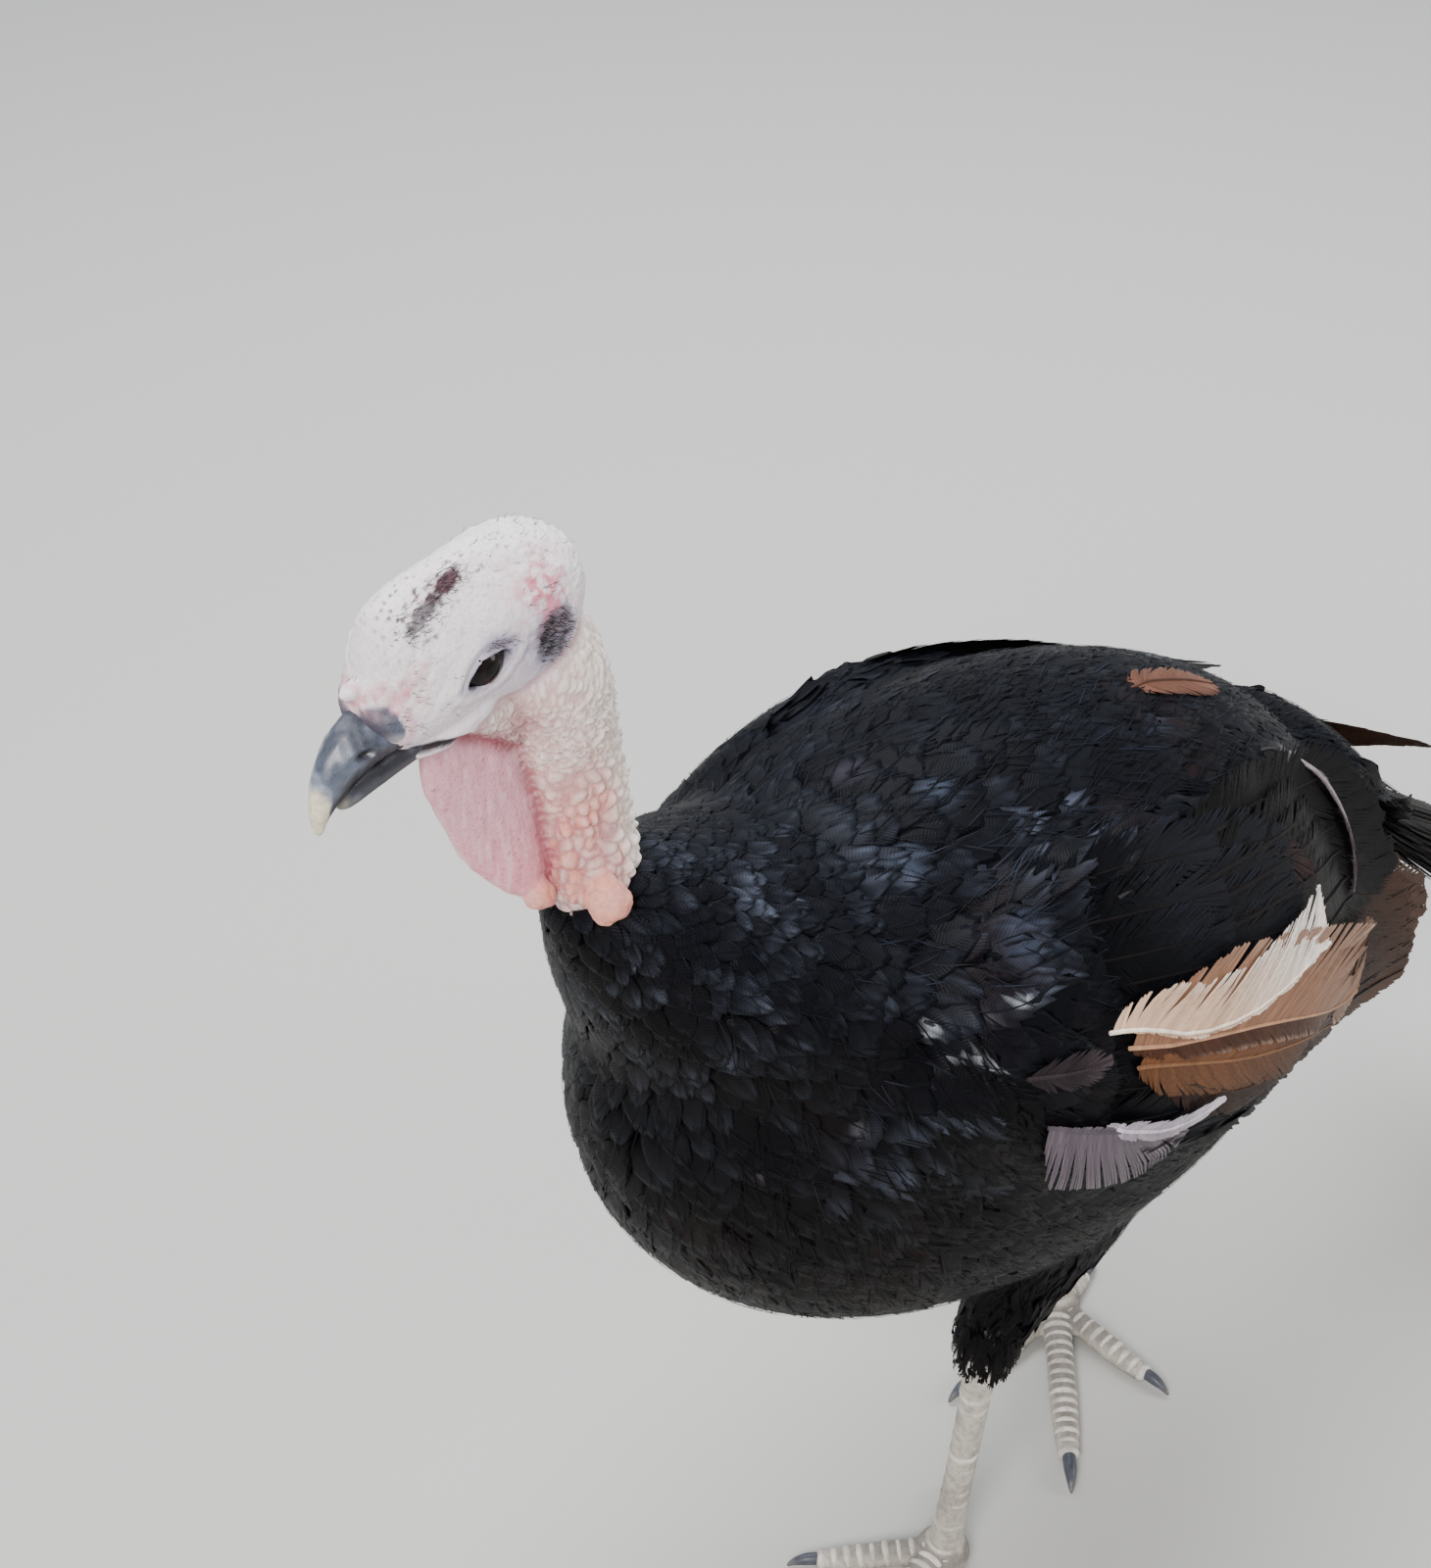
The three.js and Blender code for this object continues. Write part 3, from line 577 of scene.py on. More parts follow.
def wingLine(wing, fan, across, share):
    # a place in one of a wing's two fans, with the direction of its upper face
    across, share = floats(across, share)
    if fan == "secondaries":
        top, reach = wing["tertials"]
        form = (0.44, reach, 0.97 - reach, (44, 93), (top, 86), (2, 7 - wing["hug"]))
    else:
        form = (0.5, wing["reach"], -0.1, (70, 95), (64 - wing["tuck"], 84 - wing["tuck"]), (1.5, 2))
    start, to, step, root, end, lifts = form
    degrees = mixed(mixed(root[0], end[0], share), mixed(root[1], end[1], share), across)
    spot = flank(mixed(start, to + step * across, share), degrees, wing["side"],
                 mixed(lifts[0], lifts[1] + wing["flare"], share ** 3))
    if fan == "primaries":
        last = flank(to + step * 0.5, mixed(end[0], end[1], 0.5), wing["side"], lifts[1] + wing["flare"])
        spot = spot + (np.array(wing["tip"]) - last) * (share ** 2)[..., None]
    return spot, flankNormal(degrees, wing["side"])


def tailLine(across, share):
    across, share = floats(across, share)
    place = 2 * across - 1
    turn = place * math.radians(tailShape["fan"]) / 2
    far = tailShape["length"] * share * (1 - 0.06 * place ** 2)
    spot = onTail(far * np.cos(turn), far * np.sin(turn) + tailShape["rootWidth"] / 2 * place,
                  (6 * np.sin(np.pi * share) - tailShape["sag"] * place ** 2) * (0.4 + 0.6 * share))
    return spot, unit(tailUp + tailAcross * (0.25 * place)[..., None])


print("forms ready, frame shift", np.round(birdShift, 2))


# Finishes

def feed(tree, node, sockets):
    for key, value in sockets.items():
        if isinstance(value, bpy.types.NodeSocket):
            tree.links.new(value, node.inputs[key])
        else:
            node.inputs[key].default_value = value


def nodeOf(tree, kind, sockets=None, **settings):
    node = tree.nodes.new(kind if "Node" in kind else "ShaderNode" + kind)
    for key, value in settings.items():
        setattr(node, key, value)
    feed(tree, node, sockets or {})
    return node


def sumOf(tree, operation, *values, clamp=False):
    return nodeOf(tree, "Math", dict(enumerate(values)), operation=operation, use_clamp=clamp).outputs[0]


def shadeGroup(name, inputs, outputs):
    tree = bpy.data.node_groups.new(name, "ShaderNodeTree")
    for socket, value in inputs.items():
        tree.interface.new_socket(socket, in_out="INPUT", socket_type="NodeSocketFloat").default_value = value
    for socket in outputs:
        tree.interface.new_socket(socket, in_out="OUTPUT", socket_type="NodeSocketFloat")
    return tree, tree.nodes.new("NodeGroupInput").outputs, tree.nodes.new("NodeGroupOutput")


def placed(tree, group, **values):
    node = tree.nodes.new("ShaderNodeGroup")
    node.node_tree = group
    feed(tree, node, values)
    return node.outputs


def barbLinesGroup():
    # fine lines that leave a feather's shaft at a slant, read from its own map in millimetres
    tree, given, out = shadeGroup("barb lines", {"pitch": 0.8, "slant": 0.7, "waver": 0.8}, ("line", "clump"))
    spot = nodeOf(tree, "UVMap", uv_map="vane").outputs["UV"]
    parts = nodeOf(tree, "SeparateXYZ", {"Vector": spot}).outputs
    outward = sumOf(tree, "ABSOLUTE", parts["X"])
    along = sumOf(tree, "SUBTRACT", parts["Y"], sumOf(tree, "MULTIPLY", outward, given["slant"]))
    drift = nodeOf(tree, "TexNoise", {"Vector": spot, "Scale": 0.35, "Detail": 2.0}).outputs["Fac"]
    moved = sumOf(tree, "MULTIPLY_ADD", drift, given["waver"], along)
    turns = sumOf(tree, "DIVIDE", moved, given["pitch"])
    line = sumOf(tree, "MULTIPLY", sumOf(tree, "PINGPONG", turns, 0.5), 2.0)
    row = nodeOf(tree, "CombineXYZ", {"X": turns, "Y": 0.0}).outputs[0]
    clump = nodeOf(tree, "TexNoise", {"Vector": row, "Scale": 0.3, "Detail": 1.0}).outputs["Fac"]
    feed(tree, out, {"line": line, "clump": clump})
    return tree


def mottleGroup():
    tree, given, out = shadeGroup("mottle", {"size": 200.0, "detail": 4.0, "contrast": 1.0}, ("value",))
    spot = nodeOf(tree, "TexCoord").outputs["Object"]
    noise = nodeOf(tree, "TexNoise", {"Vector": spot, "Scale": given["size"], "Detail": given["detail"],
                                      "Roughness": 0.6}).outputs["Fac"]
    centred = sumOf(tree, "SUBTRACT", noise, 0.5)
    feed(tree, out, {"value": sumOf(tree, "MULTIPLY_ADD", centred, given["contrast"], 0.5, clamp=True)})
    return tree


def poresGroup():
    # small round pits or beads, with the gaps between them
    tree, given, out = shadeGroup("pores", {"size": 900.0, "reach": 0.35, "uneven": 1.0}, ("pit", "cell"))
    spot = nodeOf(tree, "TexCoord").outputs["Object"]
    cells = nodeOf(tree, "TexVoronoi", {"Vector": spot, "Scale": given["size"],
                                        "Randomness": given["uneven"]})
    pit = sumOf(tree, "DIVIDE", cells.outputs["Distance"], given["reach"], clamp=True)
    cell = nodeOf(tree, "SeparateXYZ", {"Vector": cells.outputs["Color"]}).outputs["X"]
    feed(tree, out, {"pit": pit, "cell": cell})
    return tree


barbLines, mottle, pores = barbLinesGroup(), mottleGroup(), poresGroup()


def newFinish(name, fixed):
    # a new material with its plain values set, and the colour that its piece carries
    material = bpy.data.materials.new(name)
    material.use_nodes = True
    tree = material.node_tree
    shader = tree.nodes["Principled BSDF"]
    feed(tree, shader, fixed)
    return material, tree, shader, nodeOf(tree, "Attribute", attribute_name="tint").outputs


def ranged(tree, value, low, high):
    return nodeOf(tree, "MapRange", {"Value": value, "To Min": low, "To Max": high}).outputs["Result"]


def timesValue(tree, colour, value, low, high):
    # the colour made darker or lighter by a value that runs from 0 to 1
    span = ranged(tree, value, low, high)
    return nodeOf(tree, "VectorMath", {0: colour, 1: span}, operation="MULTIPLY").outputs["Vector"]


def raised(tree, height, strength, distance, **more):
    return nodeOf(tree, "Bump", {"Height": height, "Strength": strength, "Distance": distance,
                                 **more}).outputs["Normal"]


def featherFinish(name, pitch, lines, rough, bump, sheen, sheenTint):
    material, tree, shader, tint = newFinish(name, {
        "Sheen Weight": sheen, "Sheen Roughness": 0.35, "Sheen Tint": (*sheenTint, 1),
        "Specular IOR Level": 0.06})
    barbs = placed(tree, barbLines, pitch=pitch)
    lined = timesValue(tree, tint["Color"], barbs["line"], 1 - lines, 1 + lines * 0.6)
    feed(tree, shader, {"Base Color": timesValue(tree, lined, barbs["clump"], 0.55, 1.45),
                        "Roughness": ranged(tree, barbs["clump"], rough - 0.12, rough + 0.15),
                        "Normal": raised(tree, barbs["line"], bump, 0.0002)})
    return material


plumage = featherFinish("plumage", 1.3, 0.22, 0.44, 0.4, 0.012, (0.6, 0.7, 0.95))
flightFinish = featherFinish("flight feathers", 1.7, 0.12, 0.48, 0.3, 0.006, (0.8, 0.75, 0.7))


def skinFinish():
    material, tree, shader, tint = newFinish("bare skin", {
        "Subsurface Weight": 0.12, "Subsurface Radius": (1.0, 0.35, 0.25), "Subsurface Scale": 0.002,
        "Specular IOR Level": 0.4})
    patches = placed(tree, mottle, size=260.0, contrast=1.6)["value"]
    fine = placed(tree, mottle, size=1400.0, detail=2.0, contrast=1.5)["value"]
    pit = placed(tree, pores, size=800.0, reach=0.5)["pit"]
    washed = timesValue(tree, tint["Color"], patches, 0.93, 1.05)
    grained = timesValue(tree, washed, fine, 0.93, 1.06)
    dotted = timesValue(tree, grained, pit, 0.86, 1.02)
    lowWaves = raised(tree, fine, 0.5, 0.0004)
    feed(tree, shader, {"Base Color": dotted, "Roughness": tint["Alpha"],
                        "Normal": raised(tree, pit, 0.45, 0.0003, Normal=lowWaves)})
    return material


def hornFinish(name, rough, coat):
    material, tree, shader, tint = newFinish(name, {"Coat Weight": coat, "Coat Roughness": 0.18,
                                                    "Specular IOR Level": 0.5})
    patches = placed(tree, mottle, size=420.0, detail=5.0, contrast=2.2)["value"]
    scratches = placed(tree, mottle, size=2600.0, detail=2.0, contrast=1.6)["value"]
    washed = timesValue(tree, tint["Color"], patches, 0.72, 1.22)
    feed(tree, shader, {"Base Color": timesValue(tree, washed, scratches, 0.9, 1.1),
                        "Roughness": ranged(tree, patches, rough - 0.1, rough + 0.18),
                        "Normal": raised(tree, scratches, 0.35, 0.0002)})
    return material


def mottledFinish(name, fixed, size, detail, contrast):
    # the piece's own colour made uneven, and no relief
    material, tree, shader, tint = newFinish(name, fixed)
    wear = placed(tree, mottle, size=size, detail=detail, contrast=contrast)["value"]
    feed(tree, shader, {"Base Color": timesValue(tree, tint["Color"], wear, 0.6, 1.4)})
    return material


bareSkin = skinFinish()
billHorn = hornFinish("bill horn", 0.34, 0.3)
clawHorn = hornFinish("claw horn", 0.42, 0.15)
scuteHorn = hornFinish("leg scales", 0.5, 0.05)
eyeFinish = mottledFinish("eye", {"Roughness": 0.25, "Coat Weight": 0.2, "Coat Roughness": 0.03,
                                  "Specular IOR Level": 0.08}, 1500.0, 3.0, 1.8)
bristleFinish = mottledFinish("bristles", {"Roughness": 0.55, "Specular IOR Level": 0.3}, 900.0, 4.0, 1.5)
print("finishes ready")


# The bare skin of the head and neck

eyeGap = {"forward": 3.4, "rise": 1.75, "tilt": -9.0, "halfLength": 7.5, "upper": 2.9, "lower": 3.0}


def almondGap(local):
    # how far outside the eye's opening a point lies, seen from the side, and whether it is above it
    tilt = math.radians(eyeGap["tilt"])
    ahead, rise = local[:, 0] - eyeGap["forward"], local[:, 2] - eyeGap["rise"]
    a = ahead * math.cos(tilt) + rise * math.sin(tilt)
    b = rise * math.cos(tilt) - ahead * math.sin(tilt)
    far = np.hypot(a, b)
    along, over = np.abs(a) / np.maximum(far, 1e-6), np.abs(b) / np.maximum(far, 1e-6)
    height = np.where(b > 0, eyeGap["upper"], eyeGap["lower"])
    low, high = np.zeros(len(local)), np.full(len(local), 12.0)
    for _ in range(16):
        middle = (low + high) / 2
        inside = (middle * along / eyeGap["halfLength"]) ** 1.7 + (middle * over / height) ** 2 < 1
        low, high = np.where(inside, middle, low), np.where(inside, high, middle)
    return far - low, a, b


gapeLine = [(33.8, -15.0), (27, -14.2), (21, -14.8), (14, -17.6), (8, -20.5), (3, -23.0)]
crownStreak = [(-0.5, 7.5, 27.7), (7.4, 8.1, 26.6), (14.5, 8.9, 24.1), (19, 9.3, 21.8)]
crownSpots = [(11.4, 4.6, 29.1), (15.4, 5.5, 27.7), (23.1, 4.3, 25.1), (21.4, 6.2, 24.8), (24.6, 0.6, 25.9),
              (16.1, 11.8, 18.4), (13.7, 12.4, 17.9), (9.0, 6.0, 28.0), (18.5, 7.4, 24.6), (12.0, 10.0, 22.5),
              (3.5, 5.2, 29.2), (20.4, 8.6, 20.6)]
skinShades = {name: shade(*tone) for name, tone in {
    "crown": (247, 238, 240), "cheek": (238, 226, 232), "lilac": (164, 156, 182), "ear": (78, 73, 76),
    "vein": (216, 132, 150), "maroon": (72, 22, 38), "slate": (84, 90, 106), "streakGrey": (66, 58, 70),
    "dewlap": (219, 160, 174), "dewlapTip": (236, 150, 162), "rim": (244, 214, 216), "cream": (238, 224, 212),
    "mauve": (196, 138, 142), "coral": (232, 142, 120), "creaseShadeAndPores": (150, 62, 78), "dark": (34, 24, 30),
    "peach": (240, 184, 164)}.items()}
earSpot = {"x": -18.8, "z": -1.5}


def layered(tints, *layers):
    # colours laid over each other, each by its own mask from 0 to 1
    for colour, mask in layers:
        if isinstance(colour, str):
            colour = skinShades[colour]
        elif isinstance(colour, tuple):
            colour = shade(*colour)
        tints = tints + (colour - tints) * np.clip(mask, 0, 1)[..., None]
    return tints


def fromEar(x, z, squash=0.85):
    return np.hypot(x - earSpot["x"], (z - earSpot["z"]) * squash)


def fromBill(x, y):
    # how far in front of the edge where the skin ends and the bill begins
    return x - (38 - 0.62 * np.abs(y))


def headRelief(local):
    # how far the head's skin stands out or sinks in, in millimetres along its normal and to the side
    x, y, z = local.T
    beside = eased(np.abs(y), 5, 10)
    gap, _, b = almondGap(local)
    waver = softNoise(local, 3.1, 5)
    push = 0.75 * hump(gap, 1.1, 0.9) * beside
    push += np.where(b < 0, 0.95 * hump(gap, 3.9, 2.0) - 0.45 * hump(gap, 7.4, 0.9), 0) * beside
    push += np.where(b > 0, 0.75 * hump(gap, 4.6, 2.2) - 0.35 * hump(gap, 2.3, 0.7), 0) * beside
    push += 0.17 * np.sin(gap * 4.1 + waver * 2.2) * eased(gap, 1, 2) * faded(gap, 4, 9) * beside
    sink = -5.5 * eased(-gap, -0.15, 1.25) * beside
    earGap = fromEar(x, z)
    push += (-1.5 * faded(earGap, 1.5, 6.5) + 0.5 * hump(earGap, 7.4, 1.3)) * beside
    push += 0.5 * softNoise(local, 2.2, 8) * faded(earGap, 4, 8) * beside
    gape, share = lineGap(local[:, [0, 2]], gapeLine)
    push -= 1.1 * hump(gape, 0, 0.8) * faded(share, 0.85, 1) * eased(np.abs(y), 2, 4)
    push += 0.45 * hump(gape, 1.9, 0.9) * eased(np.abs(y), 2, 4)
    # the rear of the crown is beaded and its top lowered, and the brow is finely wrinkled
    near = cellular(local / 2.6, 21)[0]
    push += 0.55 * faded(near, 0.1, 0.62) * eased(-x, 6, 20) * eased(z, -4, 12)
    push += 0.22 * softNoise(local / (1, 1, 0.5), 2.4, 9) + 0.3 * softNoise(local, 7, 10)
    push -= 2.3 * eased(z, 10, 24) * hump(x, -5, 26)
    push += 0.35 * eased(fromBill(x, y), -0.3, 0.5) * faded(z, 6, 9) * eased(np.abs(y), 1, 3)
    fold = eased(x, 12, 20) * faded(x, 33, 36) * eased(z, -4, 4)
    push -= 0.5 * hump(np.sin(x * 0.9 + z * 0.8 + waver * 0.6), 1, 0.35) * fold
    return push, sink


def headPaint(local):
    x, y, z = local.T
    beside = eased(np.abs(y), 6, 11)
    gap, a, b = almondGap(local)
    patchy, fine = softNoise(local, 4, 31), softNoise(local, 1.1, 32)
    earGap = fromEar(x, z, 0.8) + fine * 1.5 + patchy * 1.9
    shadow = hump(np.hypot(x + 12, (z + 7) * 0.8), 0, 12) * (0.7 + 0.4 * patchy)
    veined = np.abs(softNoise(local, 3.4, 41) + 0.5 * softNoise(local, 1.7, 42))
    rear = hump(np.hypot(x + 20, z - 13), 0, 9)
    front = eased(x, 14, 22) * hump(z, 9 - (x - 24) * 0.4, 5.5)
    brow = hump(np.abs(z - (12 - (x - 22) * 0.62)), 0, 1.3) * eased(x, 19, 23)
    streak, share = lineGap(local, crownStreak)
    ragged = streak + 1.3 * fine + 1.2 * patchy
    dots = np.min([away(local, spot) + 0.25 * fine for spot in crownSpots], axis=0)
    near, _, value = cellular(local / 1.9, 51)
    sprinkled = faded(near, 0.22, 0.44) * (value > 0.6)
    gape, gapeShare = lineGap(local[:, [0, 2]], gapeLine)
    billEdge = fromBill(x, y) + fine * 0.6 + patchy * 0.4
    sheath = eased(billEdge, -0.5, 0.4) * faded(z, 5.5, 8)
    tints = layered(
        skinShades["crown"],
        ("cheek", eased(-z, -6, 6) * 0.9),
        ("vein", 0.16 * eased(patchy, 0.2, 0.9)),
        # round the eye
        ("lilac", faded(gap, 1.5, 5.5) * (0.62 + 0.25 * patchy) * beside),
        ("lilac", 0.75 * hump(gap, 4, 3) * eased(b, 1, 4) * eased(-a, -4, 4) * beside),
        ("lilac", 0.5 * hump(gap, 7.2, 1.4) * eased(-b, 0, 3) * (0.6 + 0.6 * fine) * beside),
        ("cheek", 0.8 * hump(gap, 3.6, 1.6) * eased(-b, 0.5, 2) * beside),
        # the lid's dark rim, which also stands as painted shade down the walls of the opening
        ("dark", 0.85 * faded(gap, 0.15, 1.0) * beside),
        # the ear, with lilac painted shadow round it and behind the eye, and grey painted shade over the eye
        ("lilac", 0.8 * faded(earGap, 6, 11) * beside),
        ("lilac", 0.62 * shadow * beside),
        ("ear", 0.94 * faded(earGap, 5.0, 9.6) * (0.8 + 0.35 * fine + 0.2 * patchy) * beside),
        ("streakGrey", 0.55 * hump(gap, 2.9, 2.2) * eased(b, 0.8, 2.6) * eased(-a, -1, 4) * (0.8 + 0.5 * fine)
         * beside),
        # pink veins behind the eye and in front of it
        ("vein", 0.95 * rear * faded(veined, 0.05, 0.4) * beside + 0.25 * rear * beside),
        ("vein", 0.75 * front * faded(veined, 0.05, 0.32)),
        ("vein", 0.55 * brow * eased(np.abs(y), 1, 4)),
        # the dark streak on the crown, and specks round it
        ("streakGrey", 0.8 * faded(ragged, 1.2, 3.2) * eased(share, 0.1, 0.5)),
        ("maroon", 0.95 * faded(ragged, 1.3, 2.7) * faded(share, 0.25, 0.8)),
        ("maroon", 0.9 * faded(dots, 0.5, 1.05)),
        ("maroon", 0.95 * sprinkled * hump(streak, 4, 7) * (0.5 + 0.5 * eased(patchy, -0.2, 0.4))),
        ("maroon", 0.9 * sprinkled * hump(away(local, (16, 1, 27)), 0, 9)),
        ("dark", 0.75 * sprinkled * hump(away(local, (-19, 5, 26)), 0, 6)),
        # the gape, a dark line of painted shade in its groove, and the edge of the bill
        ("dark", faded(gape, 0.8, 1.7) * faded(gapeShare, 0.75, 1) * eased(np.abs(y), 2, 4)),
        ("vein", 0.45 * hump(billEdge, -1.6, 1.2)),
        ("slate", sheath * (0.85 + 0.3 * patchy)),
        ("streakGrey", 0.75 * sheath * faded(np.hypot((x - 38) / 5.5, (z + 1) / 6), 0.5, 1.2)))
    return tints, 0.52 + 0.08 * patchy - 0.12 * faded(gap, 0.5, 3) * beside


def neckRelief(bird):
    # long folds at the top and the back of the neck, beads lower down and in front
    beaded = eased(505 - bird[:, 2], 0, 26)
    wide = mixed(3.0, 4.1, beaded)
    stretched = bird / np.stack([wide, wide, mixed(7.6, 4.6, beaded)], -1)
    warp = np.stack([softNoise(bird, 6, 61), softNoise(bird, 6, 64), softNoise(bird, 7, 65)], -1)
    near, second, value = cellular(stretched + 0.55 * warp, 62)
    bead = faded(near, 0.08, 0.66)
    valley = faded(second - near, 0.02, 0.26)
    height = mixed(0.85, 1.45, beaded) * (0.45 + 0.9 * value)
    return height * bead - 0.5 * valley + 0.25 * softNoise(bird, 2, 63), bead, valley, value


def neckPaint(bird, bead, valley, value):
    spine = np.array(neckForm["path"])
    rearward = bird[:, 0] - np.interp(bird[:, 2], spine[:, 2], spine[:, 0])
    fine, patchy = softNoise(bird, 1.3, 71), softNoise(bird, 9, 72)
    low = eased(500 - bird[:, 2], 0, 45)
    front = faded(rearward, -4, 9)
    tints = layered(
        skinShades["cream"],
        ("mauve", (0.25 + 0.55 * low) * front * (0.6 + 0.5 * patchy)),
        ("coral", 0.85 * eased(value, 0.45, 0.85) * front * low),
        ("coral", 0.6 * hump(away(bird, (-191, -3, 464)), 0, 12)),
        ("crown", 0.7 * bead * (0.4 + 0.6 * (1 - front * low)) * eased(value, 0.1, 0.5)),
        # painted shade in the valleys between the beads
        ("mauve", 0.55 * valley * (0.35 + 0.65 * front)),
        ("creaseShadeAndPores", 0.35 * valley * front * low),
        ("cream", 0.25 * eased(fine, 0.2, 0.8)),
        # painted shade where the dewlap meets the neck
        ("creaseShadeAndPores", 0.55 * hump(away(bird, (-202, 7, 498)), 0, 7)))
    return tints, 0.5 + 0.1 * fine


def dewlapPaint(bird, out, pore, poreValue):
    grain = softNoise(bird / (1, 1, 7), 1.0, 81)
    near, _, value = cellular(bird / 3.4, 82)
    tints = layered(
        skinShades["dewlap"],
        ("dewlapTip", 0.75 * eased(478 - bird[:, 2], 0, 34)),
        ("rim", 0.4 * eased(grain, 0.15, 0.8)),
        ("mauve", 0.45 * eased(-grain, 0.15, 0.8)),
        # the dewlap's dark red pores and dots, partly their own colour and partly painted shade in the pits
        ("creaseShadeAndPores", 0.30 * faded(pore, 0.1, 0.32) * (poreValue > 0.35)),
        ("creaseShadeAndPores", 0.6 * faded(near, 0.1, 0.2) * (value > 0.5)),
        ("rim", 0.85 * eased(out, 12.5, 15.5)))
    return tints, 0.46 + 0.06 * grain


jawForm = {"path": [(-6, 0, -13), (6, 0, -14), (18, 0, -15), (25, 0, -15.6), (30, 0, -16.3)],
           "radii": [(10, 6, 6), (12, 6, 6.5), (10.6, 5, 5.8), (8.4, 4.2, 5), (6.6, 2.8, 4.0)],
           "caps": (0.2, 0.3)}
throatForm = {"path": [(10, 0, -14), (0, 0, -21), (-9, 0, -29), (-14, 0, -38)],
              "radii": [(8, 8, 7), (8, 10, 9), (8, 11, 10), (7, 9, 8)], "caps": (0.3, 0.2)}


def bareSkinMesh():
    formed = {
        "head": fromHead(loft(headForm, 72, 60)), "snood": fromHead(loft(snoodForm, 24, 16)),
        "neck": loft(neckForm, 72, 70), "dewlap": loft(dewlapForm, 60, 60),
    }
    for name, form in {"jaw": jawForm, "throat": throatForm}.items():
        formed[name] = fromHead(loft(form, 48, 40))
    for name, form in caruncleForms.items():
        formed[name] = loft(form, 28, 20, -1.4)
    points, quads = remeshed([closedTube(rows) for rows in formed.values()], 0.72, 5)
    normals = normalsOf(points, quads)
    gaps = {name: gapsTo(points, rows.reshape(-1, 3)) for name, rows in formed.items()}
    lobes = np.min([gaps[name] for name in caruncleForms], axis=0)
    headGap = np.min([gaps["head"], gaps["snood"], gaps["jaw"]], axis=0)
    gaps["neck"] = np.minimum(gaps["neck"], gaps["throat"])
    # each place belongs to the form it lies on, with soft borders
    weigh = lambda gap: np.exp(-np.maximum(gap - 0.5, 0) / 0.9)
    shares = np.stack([weigh(headGap), weigh(gaps["neck"]), weigh(gaps["dewlap"]), weigh(lobes)], -1) + 1e-6
    local = toHead(points)
    shares[:, 1] *= 1 - 0.95 * eased(local[:, 0], -30, -16) * eased(local[:, 2], -24, -14)
    shares /= shares.sum(1, keepdims=True)
    push, sink = headRelief(local)
    beads, bead, valley, value = neckRelief(points)
    out = lineGap(points, dewlapForm["path"])[0]
    grain = softNoise(points / (1, 1, 6), 1.6, 83)
    flap = 0.28 * grain + 0.3 * softNoise(points, 6, 84)
    pore, _, poreValue = cellular(points / (1.5, 1.5, 1.9), 85)
    flap -= 0.22 * faded(pore, 0.1, 0.34) * (poreValue > 0.35)
    hem = eased(points[:, 2], 426, 437)
    beads = beads * hem - 3.5 * (1 - hem)
    knobs = 0.5 * bead + 1.3 * softNoise(points, 5, 86) + 0.4 * softNoise(points, 2.3, 88)
    lift = np.stack([push, beads, flap, knobs], -1)
    moved = points + normals * (lift * shares).sum(1)[:, None]
    headSide = np.sign(local[:, 1]) * sink * shares[:, 0]
    moved += headSide[:, None] * headTurn[:, 1]
    headTints, headGloss = headPaint(local)
    neckTints, neckGloss = neckPaint(points, bead, valley, value)
    flapTints, flapGloss = dewlapPaint(points, out, pore, poreValue)
    # the lobes: peach and coral, with mauve that is painted shade in the valleys between beads and their own
    # colour where mottled
    lobeTints = layered(
        skinShades["peach"], ("coral", 0.5 + 0.4 * softNoise(points, 3.5, 87)),
        ("mauve", 0.45 * valley + 0.3 * eased(softNoise(points, 2, 89), 0.3, 0.8)))
    tints = np.einsum("nk,nkc->nc", shares, np.stack([headTints, neckTints, flapTints, lobeTints], 1))
    neckGap, flapGap = gaps["neck"], gaps["dewlap"]
    # painted shade in the fold between head and neck, and in the crease between dewlap and neck
    fold = hump(neckGap - headGap, 0.4, 1.5) * faded(np.minimum(neckGap, headGap), 0.6, 2.2)
    creaseShadeAndPores = hump(neckGap - flapGap, 0, 2.4) * faded(np.minimum(neckGap, flapGap), 0.4, 2)
    tints = layered(tints, ("mauve", 0.6 * fold * (flapGap > 2)), ("creaseShadeAndPores", 0.9 * creaseShadeAndPores * (headGap > 3)))
    gloss = (shares * np.stack([headGloss, neckGloss, flapGloss, neckGloss], -1)).sum(1)
    return moved, quads, np.column_stack([tints, gloss])


neckSkin = bareSkinMesh()
print("head and neck skin:", len(neckSkin[1]), "faces")


# Eyes, bill and claws

def rowsMap(rows):
    # a simple map over rows of points, kept for the poles as well
    steps, sides = rows.shape[:2]
    v, u = np.meshgrid(np.linspace(0.03, 0.97, steps), np.linspace(0.03, 0.97, sides), indexing="ij")
    places = np.stack([u, v], -1)
    return np.vstack([places[1:-1].reshape(-1, 2), places[0, :1], places[-1, :1]])


def hornPiece(name, tubes, material, paint, replacing):
    points, faces = joined([closedTube(rows) for rows in tubes])
    piece = makePiece(name, points, faces, material, paint(points),
                      {"OFBake": np.vstack([rowsMap(rows) for rows in tubes])})
    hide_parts(*replacing)
    print(name, len(faces), "triangles")


eyeBall = {"centre": (3.4, 10.4, 1.7), "half": (9.0, 6.6, 8.4), "iris": 3.9, "pupil": 2.2}


def eyePaint(points):
    local = toHead(points)
    out = np.hypot(local[:, 0] - eyeBall["centre"][0], local[:, 2] - eyeBall["centre"][2])
    iris, pupil = eyeBall["iris"], eyeBall["pupil"]
    return layered(shade(10, 7, 9), ((22, 13, 12), faded(out, iris - 0.3, iris + 0.3)),
                   ((30, 18, 15), 0.6 * hump(out, pupil + 0.7, 0.6)),
                   ((6, 5, 6), faded(out, pupil - 0.2, pupil + 0.25)))


